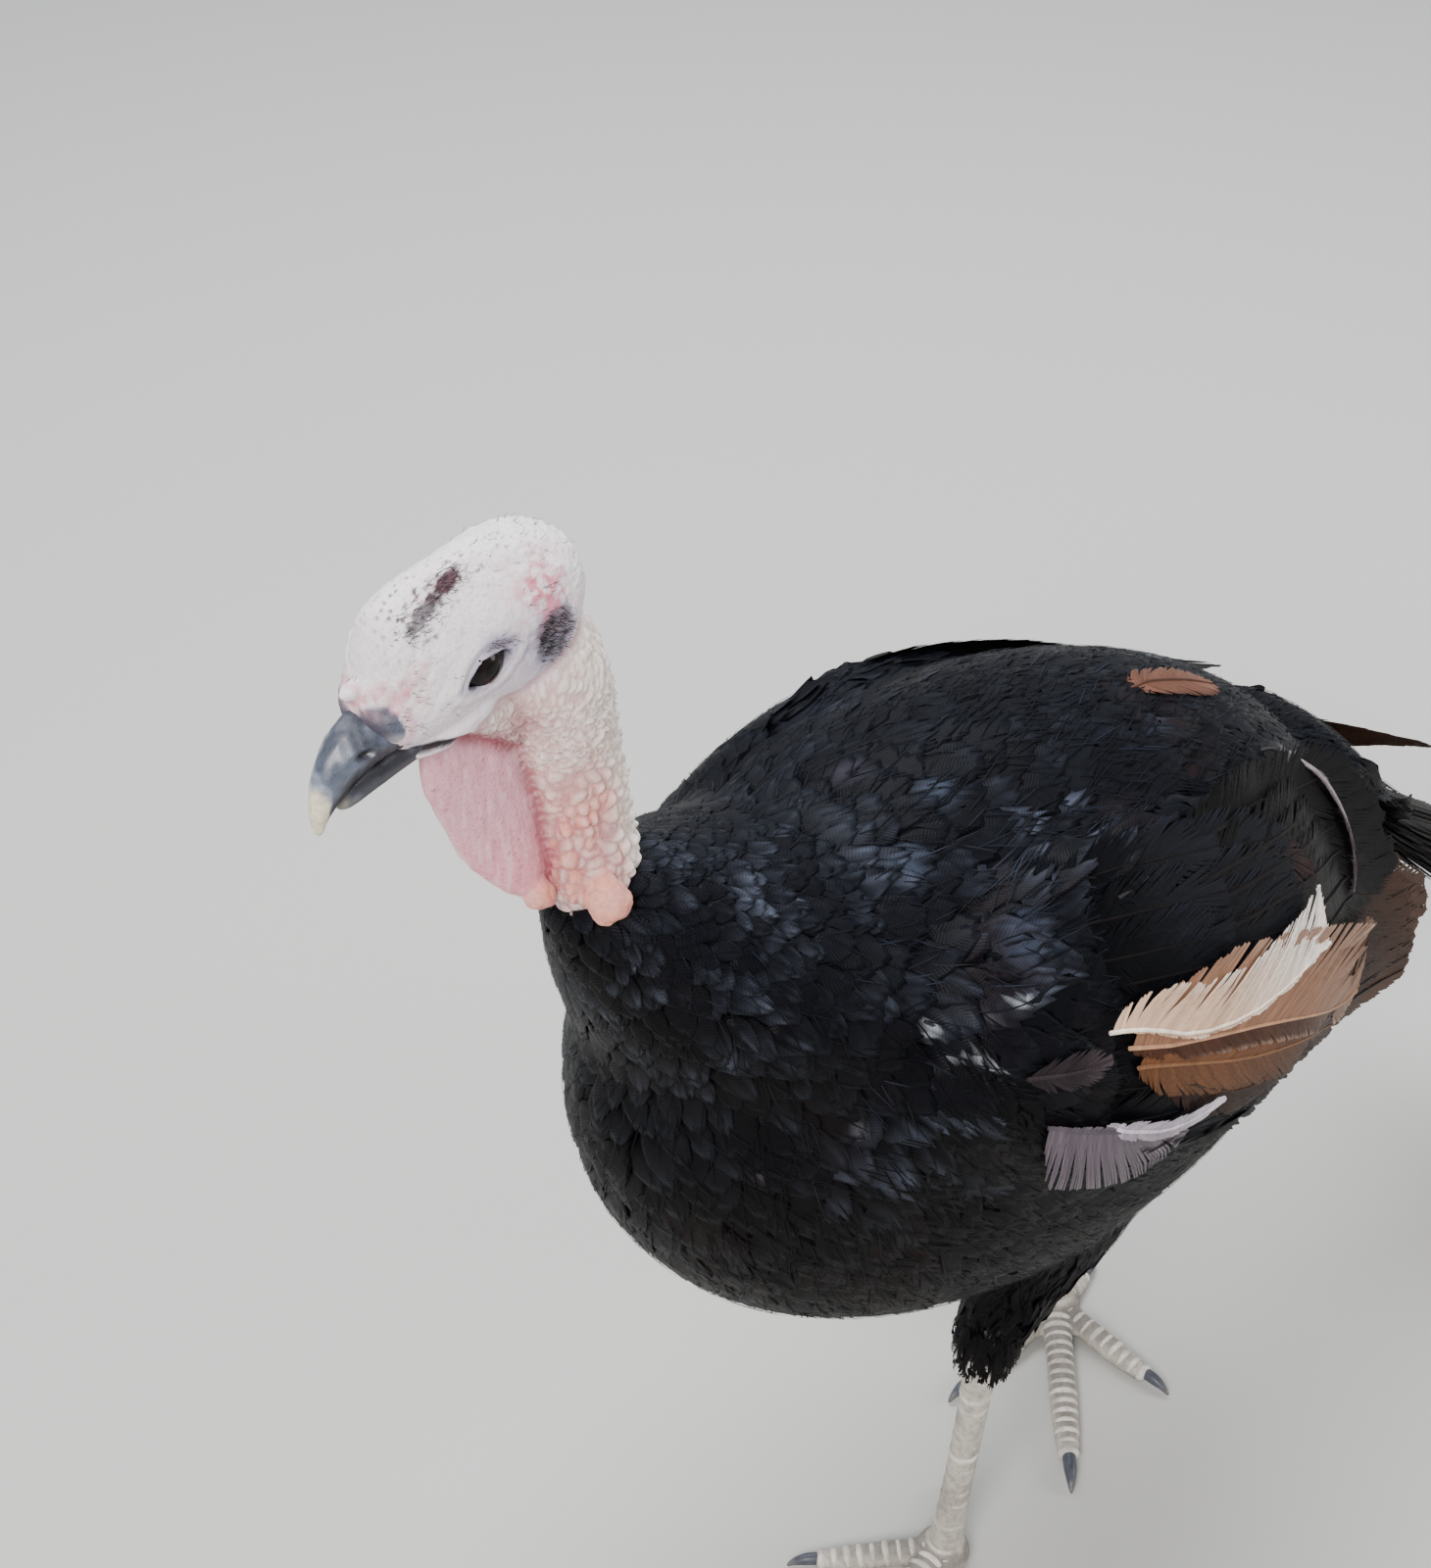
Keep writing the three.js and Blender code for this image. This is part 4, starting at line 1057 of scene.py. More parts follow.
for sideName, side in (("left", 1), ("right", -1)):
    x, y, z = eyeBall["centre"]
    half = eyeBall["half"]
    angle = np.linspace(0, math.pi, 45)[:, None]
    spin = (np.arange(64) / 64 * 2 * math.pi)[None]
    cornea = 0.7 * faded(angle, 0.2, 0.75)
    ball = np.stack([x + half[0] * np.sin(angle) * np.cos(spin),
                     side * (y + half[1] * np.cos(angle) + cornea) + 0 * spin,
                     z + half[2] * np.sin(angle) * np.sin(spin)], -1)
    hornPiece(f"eyeball_{sideName}", [fromHead(ball)], eyeFinish, eyePaint, [f"eye_{sideName}"])

billForms = {
    "upper": {"path": [(24, 0, -6), (36, 0, -4.5), (46, 0, -7.5), (53, 0, -13.5), (56.8, 0, -19.4),
                       (57.9, 0, -23.6)],
              "radii": [(10, 8, 7), (8.4, 8.3, 7.2), (6.2, 6.4, 6.6), (4.0, 4.1, 5.1), (2.2, 2.2, 2.7),
                        (1.0, 1.1, 1.3)],
              "caps": (0.1, 0.07)},
    "lower": {"path": [(14, 0, -15.2), (26, 0, -15.6), (37, 0, -16.2), (45, 0, -18.2), (50.2, 0, -20.2)],
              "radii": [(8.0, 3, 4), (7.1, 4.8, 4.2), (5.9, 5.2, 4.2), (4.0, 4.6, 3.1), (2.0, 2.6, 1.6)],
              "caps": (0.1, 0.12)},
}


def nostril(x, z):
    # 1 at the rim of the slit
    return np.hypot((x - 41.6) / 3.1 + (z + 4.9) * 0.12, (z + 4.6) / 1.35)


def upperBillRows():
    rows = loft(billForms["upper"], 96, 110)
    x, y, z = rows[..., 0], rows[..., 1], rows[..., 2]
    middle = curveAt(billForms["upper"]["path"], (1 - np.cos(np.pi * np.linspace(0, 1, 111))) / 2)[:, None]
    rise = z - middle[..., 2]
    # narrower towards the ridge, a sharp cutting edge below, and the two nostrils
    narrow = 1 - 0.22 * eased(rise, 0, 7) * faded(x, 50, 56)
    flare = 1 + 0.10 * hump(rise, -4.5, 3) * faded(x, 48, 54)
    slit = nostril(x, z)
    pit = 1.5 * faded(slit, 0.45, 1.15) - 0.5 * hump(slit, 1.55, 0.5)
    waves = 0.16 * softNoise(rows, 2.6, 95) + 0.10 * np.sin(x * 2.1 + z * 0.8) * faded(x, 44, 50)
    y = y * narrow * flare + np.sign(y) * (waves - pit) * eased(np.abs(y), 1.2, 3)
    return np.stack([x, y, z], -1)


def billPaint(points):
    local = toHead(points)
    x, y, z = local.T
    patchy, fine = softNoise(local, 3.4, 96), softNoise(local / (2.5, 1, 1), 0.8, 97)
    rise = z - np.interp(x, [24, 36, 46, 53, 57], [-6, -4.5, -7.5, -13.5, -19.5])
    hollow = faded(np.hypot((x - 40.5) / 4.4, (z + 3.6) / 3.6), 0.6, 1.15) * eased(np.abs(y), 2, 4)
    reach = x - 0.42 * (z + 8) - 1.1 * np.abs(y) * eased(-rise, -1, 3)
    # the pale blue-grey patches on the bill's upper side are painted highlights
    tints = layered(
        shade(84, 90, 106), ((158, 164, 178), 0.7 * eased(patchy, 0.05, 0.55) * eased(rise, -2, 3)),
        ((58, 60, 70), 0.6 * eased(rise, 4.2, 6.6) * faded(x, 48, 52)),
        ((34, 34, 44), 0.94 * eased(-rise + 1.2 * patchy, -1.0, 2.2)), ((46, 46, 56), 0.75 * hollow),
        ((14, 12, 15), faded(nostril(x, z), 0.4, 0.95)),
        ((222, 212, 186), eased(reach + 0.8 * patchy, 55.0, 58.0)))
    return tints * (1 + 0.16 * fine)[:, None]


def jawPaint(points):
    local = toHead(points)
    fine = softNoise(local / (2.5, 1, 1), 0.9, 98)
    tints = layered(
        shade(50, 51, 61), ((28, 26, 32), 0.85 * eased(local[:, 2], -16.2, -14.2)),
        ((112, 112, 122), 0.5 * eased(softNoise(local, 3, 99), 0.1, 0.7)),
        ((150, 142, 130), 0.6 * eased(local[:, 0], 46, 50)))
    return tints * (1 + 0.15 * fine)[:, None]


hornPiece("bill_top", [fromHead(upperBillRows())], billHorn, billPaint, ["bill_upper"])
underRows = fromHead(loft(billForms["lower"], 72, 70))
hornPiece("bill_under", [underRows], billHorn, jawPaint, ["bill_lower"])


def clawPaint(points):
    fine = softNoise(points, 1.6, 100)
    tips = [onFoot(leg, toeSpot(toe, leg["side"], toe["length"] + toe["claw"], 1.1))
            for leg in legs.values() for toe in toes.values()]
    out = np.min([away(points, tip) for tip in tips], axis=0)
    tints = layered(shade(70, 72, 82), ((110, 106, 104), faded(out, 1, 7)),
                    ((40, 40, 46), faded(points[:, 2], 0.8, 2.6)))
    return tints * (1 + 0.2 * fine)[:, None]


for sideName, leg in legs.items():
    tubes = [onFoot(leg, loft(clawForm(toe, leg["side"]), 28, 26)) for toe in toes.values()]
    for rows in tubes:
        rows[..., 2] = np.maximum(rows[..., 2], 0.05)
    hornPiece(f"claws_{sideName}", tubes, clawHorn, clawPaint,
              [f"claw_{sideName}_{toe}" for toe in toes])


# Scutes and bristles, repeated by geometry nodes

def grownMesh(name, tree, given, values):
    # the nodes' result on a given mesh, with its faces cut into triangles
    host, grow = shapedMesh(name, given, "NODES")
    grow.node_group = tree
    for item in tree.interface.items_tree:
        if item.item_type == "SOCKET" and item.in_out == "INPUT" and item.name in values:
            grow[item.identifier] = values[item.name]
    points, loops, counts = plainArrays(host)
    faces = []
    for start, count in zip(np.cumsum(counts) - counts, counts):
        corner = loops[start:start + count]
        faces += [(corner[0], corner[k], corner[k + 1]) for k in range(1, count - 1)]
    return points, np.array(faces)


def growTree(name, sockets):
    tree = bpy.data.node_groups.new(name, "GeometryNodeTree")
    tree.interface.new_socket("Geometry", in_out="INPUT", socket_type="NodeSocketGeometry")
    for socket, (kind, value) in sockets.items():
        made = tree.interface.new_socket(socket, in_out="INPUT", socket_type="NodeSocket" + kind)
        if value is not None:
            made.default_value = value
    tree.interface.new_socket("Geometry", in_out="OUTPUT", socket_type="NodeSocketGeometry")
    return tree, tree.nodes.new("NodeGroupInput").outputs, tree.nodes.new("NodeGroupOutput")


def carried(tree, name, kind="FLOAT"):
    # what the host mesh says at each place
    return nodeOf(tree, "GeometryNodeInputNamedAttribute", {"Name": name}, data_type=kind).outputs[0]


def setOut(tree, out, given, points, piece, rotation, scale):
    # one instance on every point, made real and given its material
    many = nodeOf(tree, "GeometryNodeInstanceOnPoints", {"Points": points, "Instance": piece,
                                                         "Rotation": rotation, "Scale": scale})
    real = nodeOf(tree, "GeometryNodeRealizeInstances", {"Geometry": many.outputs["Instances"]})
    dressed = nodeOf(tree, "GeometryNodeSetMaterial", {"Geometry": real.outputs["Geometry"],
                                                       "Material": given["Finish"]})
    feed(tree, out, {"Geometry": dressed.outputs["Geometry"]})


def uneven(tree, given, low, high):
    return nodeOf(tree, "FunctionNodeRandomValue", {2: low, 3: high, "Seed": given["Seed"]},
                  data_type="FLOAT").outputs[1]


def scuteTree():
    # plates along a line, as wide as the line's girth and lapping over the next
    tree, given, out = growTree("scutes", {
        "Spacing": ("Float", 0.005), "Lap": ("Float", 0.62), "Rise": ("Float", 0.9), "Seed": ("Int", 3),
        "Finish": ("Material", None)})
    curve = nodeOf(tree, "GeometryNodeMeshToCurve", {"Mesh": given["Geometry"]}).outputs["Curve"]
    even = nodeOf(tree, "GeometryNodeResampleCurve", {"Curve": curve, "Length": given["Spacing"]},
                  mode="LENGTH")
    girth, facing = carried(tree, "girth"), carried(tree, "facing", "FLOAT_VECTOR")
    along = nodeOf(tree, "GeometryNodeInputTangent").outputs["Tangent"]
    turn = nodeOf(tree, "FunctionNodeAxesToRotation", {"Primary Axis": along, "Secondary Axis": facing},
                  primary_axis="X", secondary_axis="Z").outputs["Rotation"]
    tip = nodeOf(tree, "FunctionNodeRotateRotation", {"Rotation": turn, "Rotate By": (0.0, 0.10, 0.0)},
                 rotation_space="LOCAL").outputs["Rotation"]
    plate = nodeOf(tree, "GeometryNodeMeshUVSphere", {
        "Segments": plateShape["segments"], "Rings": plateShape["rings"], "Radius": 1.0}).outputs["Mesh"]
    about = uneven(tree, given, 0.92, 1.06)
    longer = sumOf(tree, "MULTIPLY", given["Spacing"], given["Lap"])
    wider = sumOf(tree, "MULTIPLY", girth, about)
    taller = sumOf(tree, "MULTIPLY", wider, given["Rise"])
    size = nodeOf(tree, "CombineXYZ", {"X": longer, "Y": wider, "Z": taller}).outputs[0]
    setOut(tree, out, given, even.outputs["Curve"], plate, tip, size)
    return tree


def lineMesh(name, points, widths, facings):
    # a polyline that carries each place's girth and facing, in the frame's metres
    mesh = bpy.data.meshes.new(name)
    steps = [(k, k + 1) for k in range(len(points) - 1)]
    mesh.from_pydata([tuple(p) for p in (points + birdShift) * mm], steps, [])
    tell(mesh, "girth", widths * mm)
    tell(mesh, "facing", facings)
    return mesh


def tell(mesh, name, values):
    # a number or a direction for each point of a mesh, for its nodes to read
    kind, key = ("FLOAT", "value") if values.ndim == 1 else ("FLOAT_VECTOR", "vector")
    mesh.attributes.new(name, kind, "POINT").data.foreach_set(key, values.astype(np.float32).ravel())


plateShape = {"segments": 24, "rings": 10, "longToe": 0.0050, "hindToe": 0.0042, "shank": 0.0070}
plateTree = scuteTree()
plateSize = plateShape["segments"] * (plateShape["rings"] - 1) + 2
shares = np.linspace(0, 1, 40)
for sideName, leg in legs.items():
    lines = []
    for toe in toes.values():
        form = toeForm(toe, leg["side"])
        middle = onFoot(leg, curveAt(form["path"], shares))
        keep = (shares > 0.05) & (shares < 0.97)
        lines.append((middle[keep] + (0, 0, 0.3), girths(form, shares)[keep, 0] + 0.12,
                      np.tile((0, 0, 1.0), (keep.sum(), 1)),
                      plateShape["longToe" if toe["length"] > 40 else "hindToe"], 0.94, 0.54))
    form = shankForm(leg)
    middle = curveAt(form["path"], shares)
    keep = (middle[:, 2] < 122) & (middle[:, 2] > 13)
    down = unit(middle[-1] - middle[0])
    heading = math.radians(leg["heading"])
    front = unit(np.array([-math.cos(heading), -math.sin(heading), 0]))
    front = unit(front - down * (front @ down))
    lines.append((middle[keep] + front * 0.35, girths(form, shares)[keep, 0] + 0.22,
                  np.tile(front, (keep.sum(), 1)), plateShape["shank"], 1.02, 0.60))
    shells = []
    for k, (points, widths, facings, spacing, rise, lap) in enumerate(lines):
        said = {"Spacing": spacing, "Lap": lap, "Rise": rise, "Seed": 5 + k, "Finish": scuteHorn}
        shells.append(grownMesh(f"scutes {k}", plateTree, lineMesh("line", points, widths, facings), said))
    points, faces = joined(shells)
    points[:, 2] = np.maximum(points[:, 2], 0.06)
    plate = np.arange(len(points)) // plateSize
    middles = np.stack([points[plate == k].mean(0) for k in range(plate.max() + 1)])
    rng = np.random.default_rng(31)
    tints = layered(
        shade(222, 214, 204) * rng.uniform(0.82, 1.06, (plate.max() + 1, 1))[plate],
        ((150, 138, 126), 0.45 * eased(softNoise(points, 7, 34), 0.1, 0.8)),
        ((86, 78, 74), 0.8 * faded(points[:, 2], 0.8, 4.2)))
    tints = tints * (1 + 0.08 * softNoise(points, 1.6, 33))[:, None]
    around = (points - middles[plate]) / 30
    chance = hashed(np.stack([plate, 0 * plate, 0 * plate], -1), 35)[:, None]
    bake = 0.1 + 0.8 * chance * (1, 0.7) + around[:, :2] * 0.02
    makePiece(f"scutes_{sideName}", points, faces, scuteHorn, tints, {"OFBake": bake})
    print("scutes", sideName, plate.max() + 1, "plates,", len(faces), "triangles")


bristleShape = {"sides": 5, "perSquareMetre": 1.9e6, "length": 0.0023, "stoutness": 0.00010, "stray": 0.55}


def bristleTree():
    # short stiff hairs scattered over a skin, leaning the way the skin's "lie" says
    tree, given, out = growTree("bristles", {"Density": ("Float", 40000.0), "Length": ("Float", 0.0035),
                                             "Stoutness": ("Float", 0.00012), "Seed": ("Int", 7),
                                             "Finish": ("Material", None)})
    density = sumOf(tree, "MULTIPLY", carried(tree, "hairy"), given["Density"])
    spots = nodeOf(tree, "GeometryNodeDistributePointsOnFaces", {
        "Mesh": given["Geometry"], "Density": density, "Seed": given["Seed"]}).outputs["Points"]
    hair = nodeOf(tree, "GeometryNodeMeshCone", {
        "Vertices": bristleShape["sides"], "Radius Top": 0.12, "Radius Bottom": 1.0, "Depth": 1.0}).outputs[0]
    stray = bristleShape["stray"]
    jitter = nodeOf(tree, "FunctionNodeRandomValue", {0: (-stray, -stray, -stray), 1: (stray, stray, stray),
                                                      "Seed": given["Seed"]},
                    data_type="FLOAT_VECTOR").outputs[0]
    leaning = nodeOf(tree, "VectorMath", {0: carried(tree, "lie", "FLOAT_VECTOR"), 1: jitter},
                     operation="ADD").outputs["Vector"]
    turn = nodeOf(tree, "FunctionNodeAlignRotationToVector", {"Vector": leaning}, axis="Z").outputs[0]
    longer = sumOf(tree, "MULTIPLY", given["Length"], uneven(tree, given, 0.5, 1.25))
    stout = given["Stoutness"]
    size = nodeOf(tree, "CombineXYZ", {"X": stout, "Y": stout, "Z": longer}).outputs[0]
    setOut(tree, out, given, spots, hair, turn, size)
    return tree


def bristles():
    points, quads = neckSkin[0], neckSkin[1]
    normals = normalsOf(points, quads)
    local = toHead(points)
    x, y, z = local.T
    streak = lineGap(local, crownStreak)[0]
    crown = faded(streak + softNoise(local, 3, 36), 1.5, 6) * eased(z, 16, 20)
    ear = faded(fromEar(x, z), 3, 8.5) * eased(np.abs(y), 9, 12)
    brow = hump(almondGap(local)[0], 3, 2.4) * eased(z, 3, 6) * eased(np.abs(y), 9, 12) * eased(-x, -6, 0)
    rear = 0.035 * eased(-x, 8, 20) * eased(z, 4, 16)
    lore = 0.05 * hump(np.hypot(x - 27, z - 4), 0, 10)
    mesh = rawMesh("hairy skin", points, quads)
    tell(mesh, "hairy", np.clip(0.8 * crown + ear + 0.35 * brow + rear + lore, 0, 1))
    tell(mesh, "lie", unit(normals * 0.42 - headTurn[:, 0] * 0.8 - np.array([0, 0, 0.3])))
    points, faces = grownMesh("bristles", bristleTree(), mesh, {
        "Density": bristleShape["perSquareMetre"], "Length": bristleShape["length"],
        "Stoutness": bristleShape["stoutness"], "Seed": 7, "Finish": bristleFinish})
    spot = np.arange(len(points))
    sides = bristleShape["sides"]
    hair = spot // (2 * sides)
    chance = hashed(np.stack([hair, 0 * hair, 0 * hair], -1), 37)
    tints = mixed(shade(20, 15, 18), shade(96, 84, 92), eased(chance, 0.6, 1.0)[:, None])
    bake = 0.1 + 0.8 * np.stack([chance, hashed(np.stack([hair, hair, hair], -1), 38)], -1)
    bake += 0.0015 * np.stack([spot % sides / sides - 0.5, spot % (2 * sides) / (2 * sides) - 0.5], -1)
    makePiece("bristles", points, faces, bristleFinish, tints, {"OFBake": bake}, smooth=False)
    print("bristles:", hair.max() + 1, "hairs,", len(faces), "triangles")


bristles()


# The skin under the coat, and the surface that the coat's tips reach

coatShape = {"skinDepth": 8.0, "skinVoxel": 7.5, "reachVoxel": 4.5, "covertsReach": 104,
             "spacing": 9.6}
neckFoot = (-182, 7, 440)    # where the bare neck ends and the feathers begin


def bodyLofts(grow=0.0):
    forms = [(trunkForm, 64, 48), (rumpForm, 48, 30), (hackleForm, 48, 30),
             (thighForm(legs["left"]), 30, 24), (thighForm(legs["right"]), 30, 24)]
    shells = [closedTube(loft(form, sides, steps, grow)) for form, sides, steps in forms]
    return shells + [closedTube(wingBulge(wing, 40, 30, grow - 1.4 * wing["hug"])) for wing in wings.values()]


upperCovertsForm = {
    "path": [onAxis(0.84, 60), onTail(6, 0, 21), onTail(56, 0, 13), onTail(108, 0, 9)],
    "radii": [(40, 9, 12), (38, 9, 12), (31, 6, 8), (18, 2.5, 3)], "caps": (0.2, 0.12), "up": tailUp,
}
underCovertsForm = {
    "path": [onAxis(0.92, -30), onTail(20, 0, -28), onTail(62, 0, -18), onTail(112, 0, -12)],
    "radii": [(36, 16, 18), (36, 14, 16), (28, 8, 11), (14, 3, 3)], "caps": (0.2, 0.12), "up": tailUp,
}


def legLofts():
    shells = []
    for leg in legs.values():
        shells.append(closedTube(loft(shankForm(leg), 36, 60)))
        shells.append(closedTube(onFoot(leg, loft(padForm, 36, 20))))
        shells += [closedTube(onFoot(leg, loft(toeForm(toe, leg["side"]), 28, 40))) for toe in toes.values()]
    return shells


def legSkinMesh():
    points, quads = remeshed(legLofts(), 1.55, 3)
    normals = normalsOf(points, quads)
    near = cellular(points / 2.3, 91)[0]
    low = faded(points[:, 2], 128, 142)
    points = points + normals * (0.14 * faded(near, 0.2, 0.62) * low)[:, None]
    points[:, 2] = np.maximum(points[:, 2], 0.02)
    z = points[:, 2]
    tints = layered(
        shade(196, 188, 176), ((150, 142, 134), 0.5 * eased(softNoise(points, 12, 92), 0, 0.8)),
        ((112, 104, 98), 0.45 * eased(near, 0.4, 0.75)),
        ((222, 216, 204), 0.4 * eased(softNoise(points, 3, 93), 0.2, 0.9)),
        ((74, 68, 66), 0.8 * faded(z, 0.5, 4.5)),
        ((96, 88, 82), 0.6 * faded(z, 12.5, 14) * eased(z, 6.5, 10)),
        ((26, 25, 28), eased(z, 124, 136)))
    return points, quads, np.column_stack([tints, np.full(len(points), 0.55)])


def coveredSkinMesh():
    points, quads = remeshed(bodyLofts(-coatShape["skinDepth"]), coatShape["skinVoxel"], 6)
    return points, quads, np.tile((*shade(24, 23, 26), 0.8), (len(points), 1))


def unwrapped(points):
    # the skin's own unwrap, round the trunk's length
    spots = points - np.array(trunkShape["centre"])
    along = np.clip((spots @ bodyBack + 340) / 780, 0, 1)
    around = np.arctan2(spots @ sideways, spots @ bodyUp) / (2 * math.pi) + 0.5
    return np.stack([0.02 + 0.96 * along, 0.02 + 0.96 * around], -1)


parts = [neckSkin, legSkinMesh(), coveredSkinMesh()]
skinPoints, skinFaces = joined([part[:2] for part in parts])
skin = makePiece("skin", skinPoints, skinFaces, bareSkin, np.vstack([part[2] for part in parts]),
                 {"OFBake": unwrapped(skinPoints)})
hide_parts("head", "neck_bare", "dewlap", "snood", *caruncleForms, "trunk", "rump", "neck_hackle",
            *[f"{part}_{side}" for side in legs for part in ("thigh", "shank", "foot")],
            *[f"toe_{side}_{toe}" for side in legs for toe in toes])
print("skin:", len(skinFaces), "faces")

tailLofts = [closedTube(loft(form, 36, 30)) for form in (upperCovertsForm, underCovertsForm)]
reachPoints, reachFaces = remeshed(bodyLofts() + tailLofts, coatShape["reachVoxel"], 26)
reachNormals = normalsOf(reachPoints, reachFaces)
reachTree = BVHTree.FromPolygons(reachPoints.tolist(), reachFaces.tolist())


def onReach(points):
    # the nearest places on the coat's outer surface, with its smooth normals
    found, normals = np.array(points, float), np.zeros_like(points)
    for k, spot in enumerate(points):
        place, _, face, _ = reachTree.find_nearest(spot)
        corners = reachFaces[face]
        weights = 1 / (away(reachPoints[corners], place) + 0.3)
        found[k] = place
        normals[k] = (reachNormals[corners] * weights[:, None]).sum(0)
    return found, unit(normals)


def legShare(points):
    # how much a place belongs to a thigh, and the way down that thigh
    best, way = np.full(len(points), 1e9), np.zeros_like(points)
    for leg in legs.values():
        gap, _ = lineGap(points, [leg["hip"], leg["hock"]])
        down = unit(leg["hock"] - leg["hip"])
        way = np.where((gap < best)[:, None], down, way)
        best = np.minimum(best, gap)
    return faded(best, 30, 52) * faded(points[:, 2], 205, 240), way


def lieOfCoat(points, normals):
    # the way the feathers point: down the neck, back along the trunk and tail, down the thighs
    fall = np.radians(mixed(52, 21, eased(points[:, 0], -150, -10)))
    aim = np.stack([np.cos(fall), 0 * fall, -np.sin(fall)], -1)
    aim = mixed(aim, tailBack, eased(points[:, 0], 110, 190)[:, None])
    x, y, z = points.T
    wingward = eased(np.abs(y), 70, 95) * eased(x, -120, -40) * eased(z, 230, 290)
    aim = mixed(aim, np.array([0.93, 0, -0.37]), (0.8 * wingward)[:, None])
    onLeg, way = legShare(points)
    aim = mixed(aim, way, onLeg[:, None])
    return unit(aim - normals * np.einsum("ij,ij->i", aim, normals)[:, None])


def coatSpacing(points):
    # how far apart the feathers stand: least at the top of the neck and the hock
    x, y, z = points.T
    widest = coatShape["spacing"]
    spacing = mixed(3.7, widest, eased(away(points, neckFoot), 8, 175))
    onThigh = np.minimum(spacing, mixed(4.6, widest, eased(z, 120, 200)))
    spacing = np.where(z < 180, onThigh, spacing)
    fore = eased(np.abs(y), 78, 92) * faded(x, -70, 10) * eased(z, 250, 290)
    return spacing * (1 - 0.22 * fore)


def spotsOnReach(rng, count):
    # random places, spread evenly over the coat's outer surface
    corners = reachPoints[reachFaces]
    area = np.linalg.norm(np.cross(corners[:, 2] - corners[:, 0], corners[:, 3] - corners[:, 1]), axis=1) / 2
    c = corners[rng.choice(len(reachFaces), count, p=area / area.sum())]
    u, v = rng.random((2, count, 1))
    return c[:, 0] * (1 - u) * (1 - v) + c[:, 1] * u * (1 - v) + c[:, 2] * u * v + c[:, 3] * (1 - u) * v


def scattered(seed, tries=90000, cell=10.0):
    # places for the body feathers, none nearer to another than the coat's own spacing allows
    spots = spotsOnReach(np.random.default_rng(seed), tries)
    spacing = coatSpacing(spots)
    neighbours = list(itertools.product((-1, 0, 1), repeat=3))
    grid, kept = {}, []
    for k in range(tries):
        x, y, z = spots[k]
        i, j, h = int(x // cell), int(y // cell), int(z // cell)
        crowded = any((x - ox) ** 2 + (y - oy) ** 2 + (z - oz) ** 2 < (0.5 * (gap + spacing[k])) ** 2 * 0.72
                      for a, b, c in neighbours for ox, oy, oz, gap in grid.get((i + a, j + b, h + c), ()))
        if not crowded:
            grid.setdefault((i, j, h), []).append((x, y, z, spacing[k]))
            kept.append(k)
    return spots[kept], spacing[kept]


def vaneGrid(columns, rows):
    # faces of a thin closed vane whose two sides share their rim
    top = np.arange((rows + 1) * (columns + 1)).reshape(rows + 1, columns + 1)
    under = top.copy()
    inner = np.arange((rows - 1) * (columns - 1)).reshape(rows - 1, columns - 1)
    under[1:-1, 1:-1] = inner + top.size
    upper = np.stack([top[:-1, :-1], top[:-1, 1:], top[1:, 1:], top[1:, :-1]], -1).reshape(-1, 4)
    lower = np.stack([under[:-1, :-1], under[1:, :-1], under[1:, 1:], under[:-1, 1:]], -1).reshape(-1, 4)
    return np.vstack([upper, lower])


def readAlong(stations, shares):
    # values between evenly spaced stations, for each feather of a group
    last = stations.shape[1] - 1
    place = np.clip(shares, 0, 1) * last
    whole = np.minimum(np.floor(place).astype(int), last - 1)
    rest = (place - whole)[..., None]
    index = np.arange(len(stations)).reshape(-1, *[1] * (shares.ndim - 1))
    return stations[index, whole] * (1 - rest) + stations[index, whole + 1] * rest


def walked(roots, reach, yaw, steps=6):
    # each feather's line over the coat's surface, from its root to its tip
    spots, normals = onReach(roots)
    lines, ups = [spots], [normals]
    for _ in range(steps):
        lie = lieOfCoat(spots, normals)
        across = np.cross(lie, normals)
        lie = unit(lie + across * yaw[:, None])
        spots, normals = onReach(spots + lie * (reach / steps)[:, None])
        lines.append(spots)
        ups.append(normals)
    return np.stack(lines, 1), np.stack(ups, 1)


